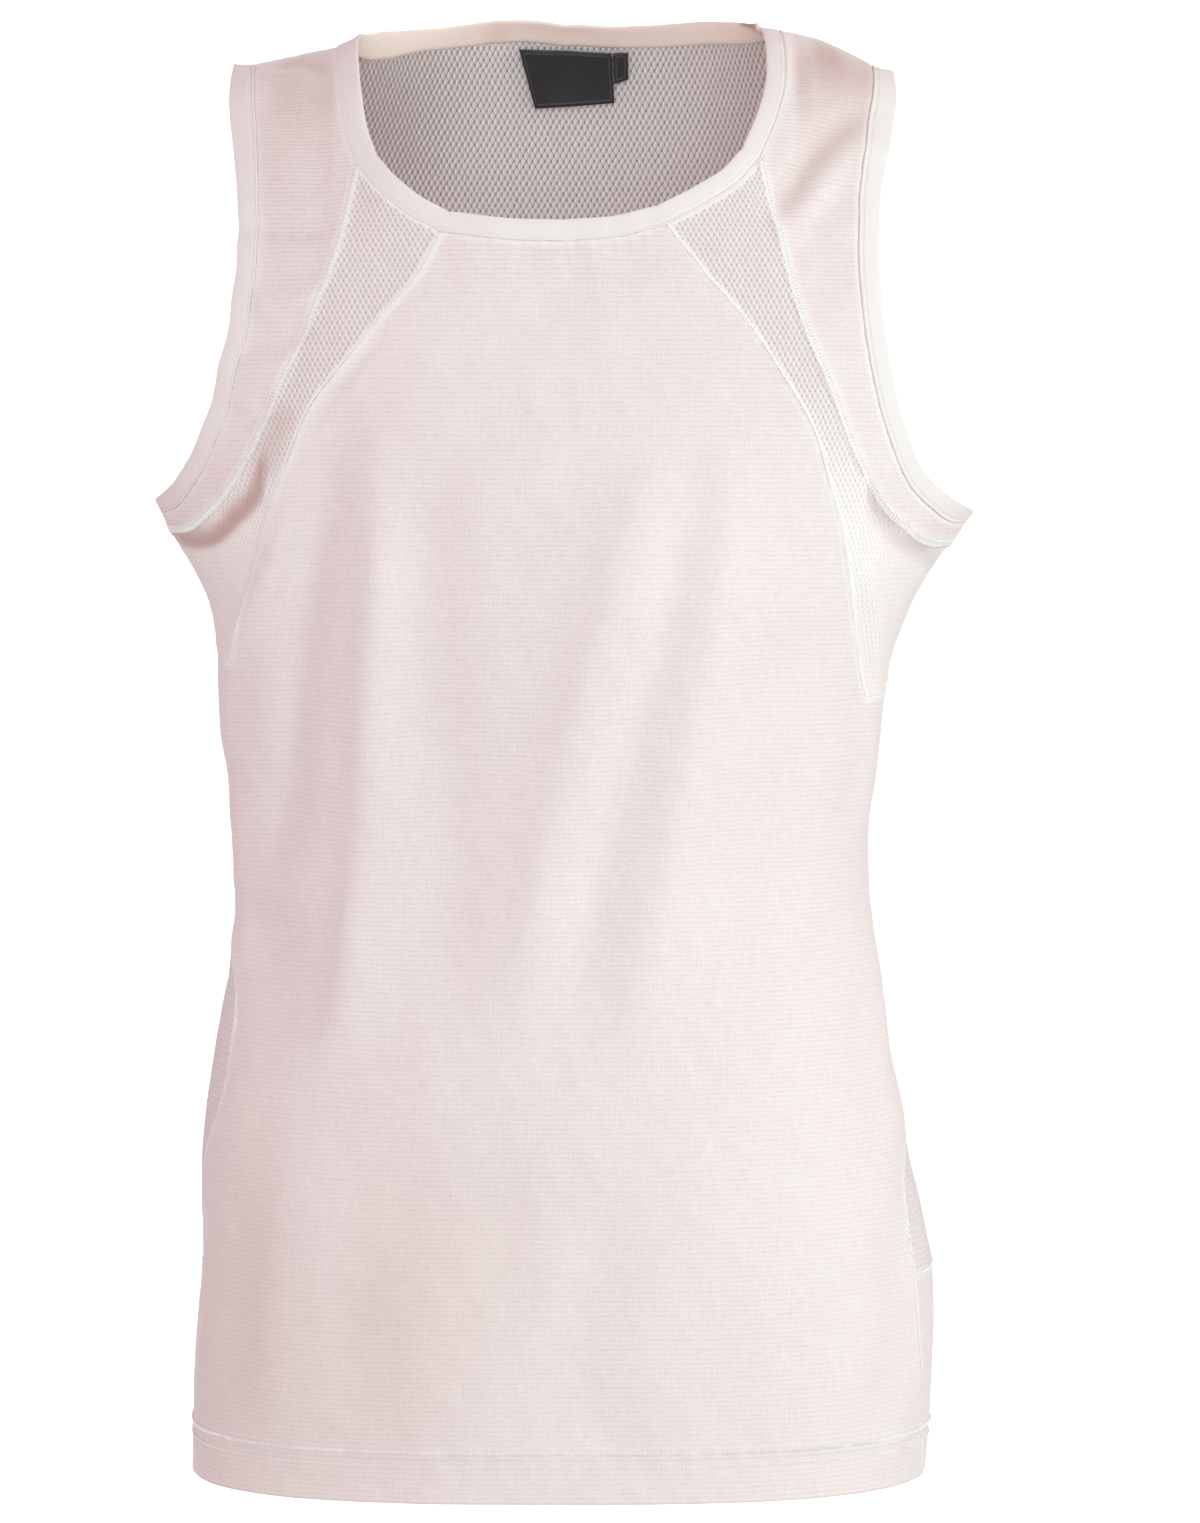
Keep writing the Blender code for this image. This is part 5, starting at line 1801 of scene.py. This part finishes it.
    def hem_threads(self) -> Piece:
        """The two visible rows of the hem's coverstitch, all round."""
        start = self.left.band_side[0, 0]
        angles = np.linspace(start, start + TURN, 721)
        rows = []
        upper, lower = HEM_DEPTH + 0.8, HEM_DEPTH - 4.6
        for rise, kinds, lift in ((upper, HEM_STITCH, 0.55), (lower, LOWER_STITCH, 0.46)):
            places = np.stack([angles, np.full_like(angles, rise)], axis=-1)
            line = self.sewing.samples(places, lift)
            rows += [(line, row, 1) for row in kinds]
        return self.sewing.sew("hem_stitches", rows, self.finishes.thread)

    def strip_threads(self, name: str, strip: Binding, behind: bool = False) -> Piece:
        """Topstitching on a binding, and a zigzag on the inner face where it shows."""
        rows = [(strip.line(share=0.27, height=0.50), row, 1) for row in TOPSTITCH]
        if behind:
            inside = strip.line(share=0.09, height=-1.30, inner=True)
            rows += [(inside, row, 1) for row in LINING_STITCH]
        return self.sewing.sew(name, rows, self.finishes.thread)

    def build(self) -> None:
        """Makes every piece and dresses it."""
        fin = self.finishes
        front = self.front_panel()
        insets = [
            self.inset(self.right, "right_inset", "inset_right"),
            self.inset(self.left, "left_inset", "inset_left"),
        ]
        shoulders = [
            self.shoulder(self.right, "right_shoulder", "shoulder_right"),
            self.shoulder(self.left, "left_shoulder", "shoulder_left"),
        ]
        back = self.back_panel()
        band = self.back_band()
        strips = [
            self.neck_strip(),
            self.armhole_strip(self.right, "right_armhole_strip"),
            self.armhole_strip(self.left, "left_armhole_strip"),
        ]
        nodes = ("neck_binding", "armhole_binding_right", "armhole_binding_left")
        tapes = [
            dress(strip.build(fin.binding), node) for strip, node in zip(strips, nodes)
        ]
        names = ("neck_stitches", "right_armhole_stitches", "left_armhole_stitches")
        stitches = [
            dress(self.strip_threads(name, strip, i == 0))
            for i, (name, strip) in enumerate(zip(names, strips))
        ]
        seams = dress(self.seam_threads())
        hem = dress(self.hem_threads())
        label = Label("woven_label", LABEL_CORNERS, self.form)
        tab = Label("size_label", TAB_CORNERS, self.form, clear=3.3, steps=10, curl=0.5)
        label, tab = label.build(fin.label), tab.build(fin.label)
        dress(label, "neck_label")
        dress(tab, "size_tab")


# ---------------------------------------------------------------- the studio
class Lamp(NamedTuple):
    """Square soft light: place and size in metres, power in watts, and colour."""

    name: str
    at: Point
    size: float
    power: float
    colour: Colour


@dataclass(frozen=True)
class Studio:
    """Camera, lights and a plain pale ground; lengths here are in metres."""

    camera_at: Point = (0.0157, -2.608, -0.180)
    looks_at: Point = (0.0157, -0.008, -0.3023)
    lens: float = 144.8
    middle: Point = (0.0, 0.0, -0.28)       # of the garment, where the lamps aim
    floor: float = -1.0                     # height of the ground
    near: float = -1.0                      # its near edge
    sweep: float = 4.4                      # how far behind it stands upright
    bend: float = 1.0                       # radius of the sweep
    half: float = 0.95                      # half its width
    top: float = 2.0                        # height of its upright part
    lit: tuple[float, float] = (1.0, 1.7)   # its glow grows between these depths
    lamps: tuple[Lamp, ...] = (
        Lamp("key", (2.8, -0.7, 0.4), 1.3, 36.2, (0.715, 1.0, 0.928)),
        Lamp("front", (0.0, -3.4, 0.1), 1.8, 48.0, (0.67, 1.0, 0.97)),
        Lamp("fill", (-2.8, -0.8, 0.1), 1.4, 2.0, (1.0, 0.9, 0.9)),
    )
    air: Colour = (1.0, 0.744, 0.774)       # colour and strength of the surroundings
    air_strength: float = 0.625

    def aimed(self, thing: bpy.types.Object, at: Point) -> None:
        """Turns a camera or light to look at a point."""
        way = np.array(at) - np.array(thing.location)
        tilt = np.pi / 2 + np.arctan2(way[2], np.hypot(way[0], way[1]))
        thing.rotation_euler = (tilt, 0, np.arctan2(-way[0], way[1]))

    def camera(self) -> None:
        """The camera, in front and a little above the middle."""
        camera = bpy.data.objects.new("camera", bpy.data.cameras.new("camera"))
        camera.data.lens = self.lens
        camera.data.sensor_width = 36.0
        camera.location = self.camera_at
        self.aimed(camera, self.looks_at)
        bpy.context.collection.objects.link(camera)
        bpy.context.scene.camera = camera

    def light(self, lamp: Lamp) -> None:
        """One lamp, aimed at the middle of the garment."""
        light = bpy.data.lights.new(lamp.name, "AREA")
        light.size, light.energy, light.color = lamp.size, lamp.power, lamp.colour
        thing = bpy.data.objects.new(lamp.name, light)
        thing.location = lamp.at
        self.aimed(thing, self.middle)
        bpy.context.collection.objects.link(thing)

    def ground(self) -> None:
        """Floor that sweeps up behind as one sheet: flat, a quarter circle, then upright."""
        t, bend = np.linspace(0, np.pi / 2, 13), self.bend
        y = np.concatenate([[self.near], self.sweep - bend + bend * np.sin(t), [self.sweep]])
        z = np.concatenate([[0.0], bend - bend * np.cos(t), [self.top]]) + self.floor
        sides = [np.stack([np.full_like(y, x), y, z], axis=-1) for x in (-self.half, self.half)]
        grid = np.stack(sides, axis=1)
        mesh = bpy.data.meshes.new("floor")
        mesh.from_pydata(grid.reshape(-1, 3).tolist(), [], quads_of(*grid.shape[:2]).tolist())
        mesh.shade_smooth()
        dye = Dye("studio_white")
        place = dye.node("ShaderNodeTexCoord", {}, {}, "Object")
        depth = dye.node("ShaderNodeSeparateXYZ", {}, {0: place}, "Y")
        glow = dye.mixed(depth.step(*self.lit), (0.0, 0.0, 0.0), (1.0, 1.0, 1.0))
        dye.link("Emission Color", glow)
        dye.constants(roughness=0.9, specular_ior_level=0.0, emission_strength=0.92)
        dye.shader.inputs["Base Color"].default_value = (0.75, 0.74, 0.735, 1)
        mesh.materials.append(dye.material)
        floor = bpy.data.objects.new("floor", mesh)
        bpy.context.collection.objects.link(floor)

    def build(self) -> None:
        """Sets up the camera, the lights, the surroundings and the view's colours."""
        self.camera()
        self.ground()
        for lamp in self.lamps:
            self.light(lamp)
        world = bpy.data.worlds.new("studio")
        world.use_nodes = True
        background = world.node_tree.nodes["Background"].inputs
        background["Color"].default_value = (*self.air, 1)
        background["Strength"].default_value = self.air_strength
        bpy.context.scene.world = world
        bpy.context.scene.view_settings.view_transform = "Standard"


def main() -> None:
    """Builds the studio and the garment."""
    logging.basicConfig(level=logging.INFO, format="%(name)s %(message)s")
    for old in list(bpy.data.objects):
        if old.name in ("Cube", "Light", "Camera"):
            bpy.data.objects.remove(old)
    Studio().build()
    Singlet(Form(), Finishes()).build()


if __name__ == "__main__":
    main()
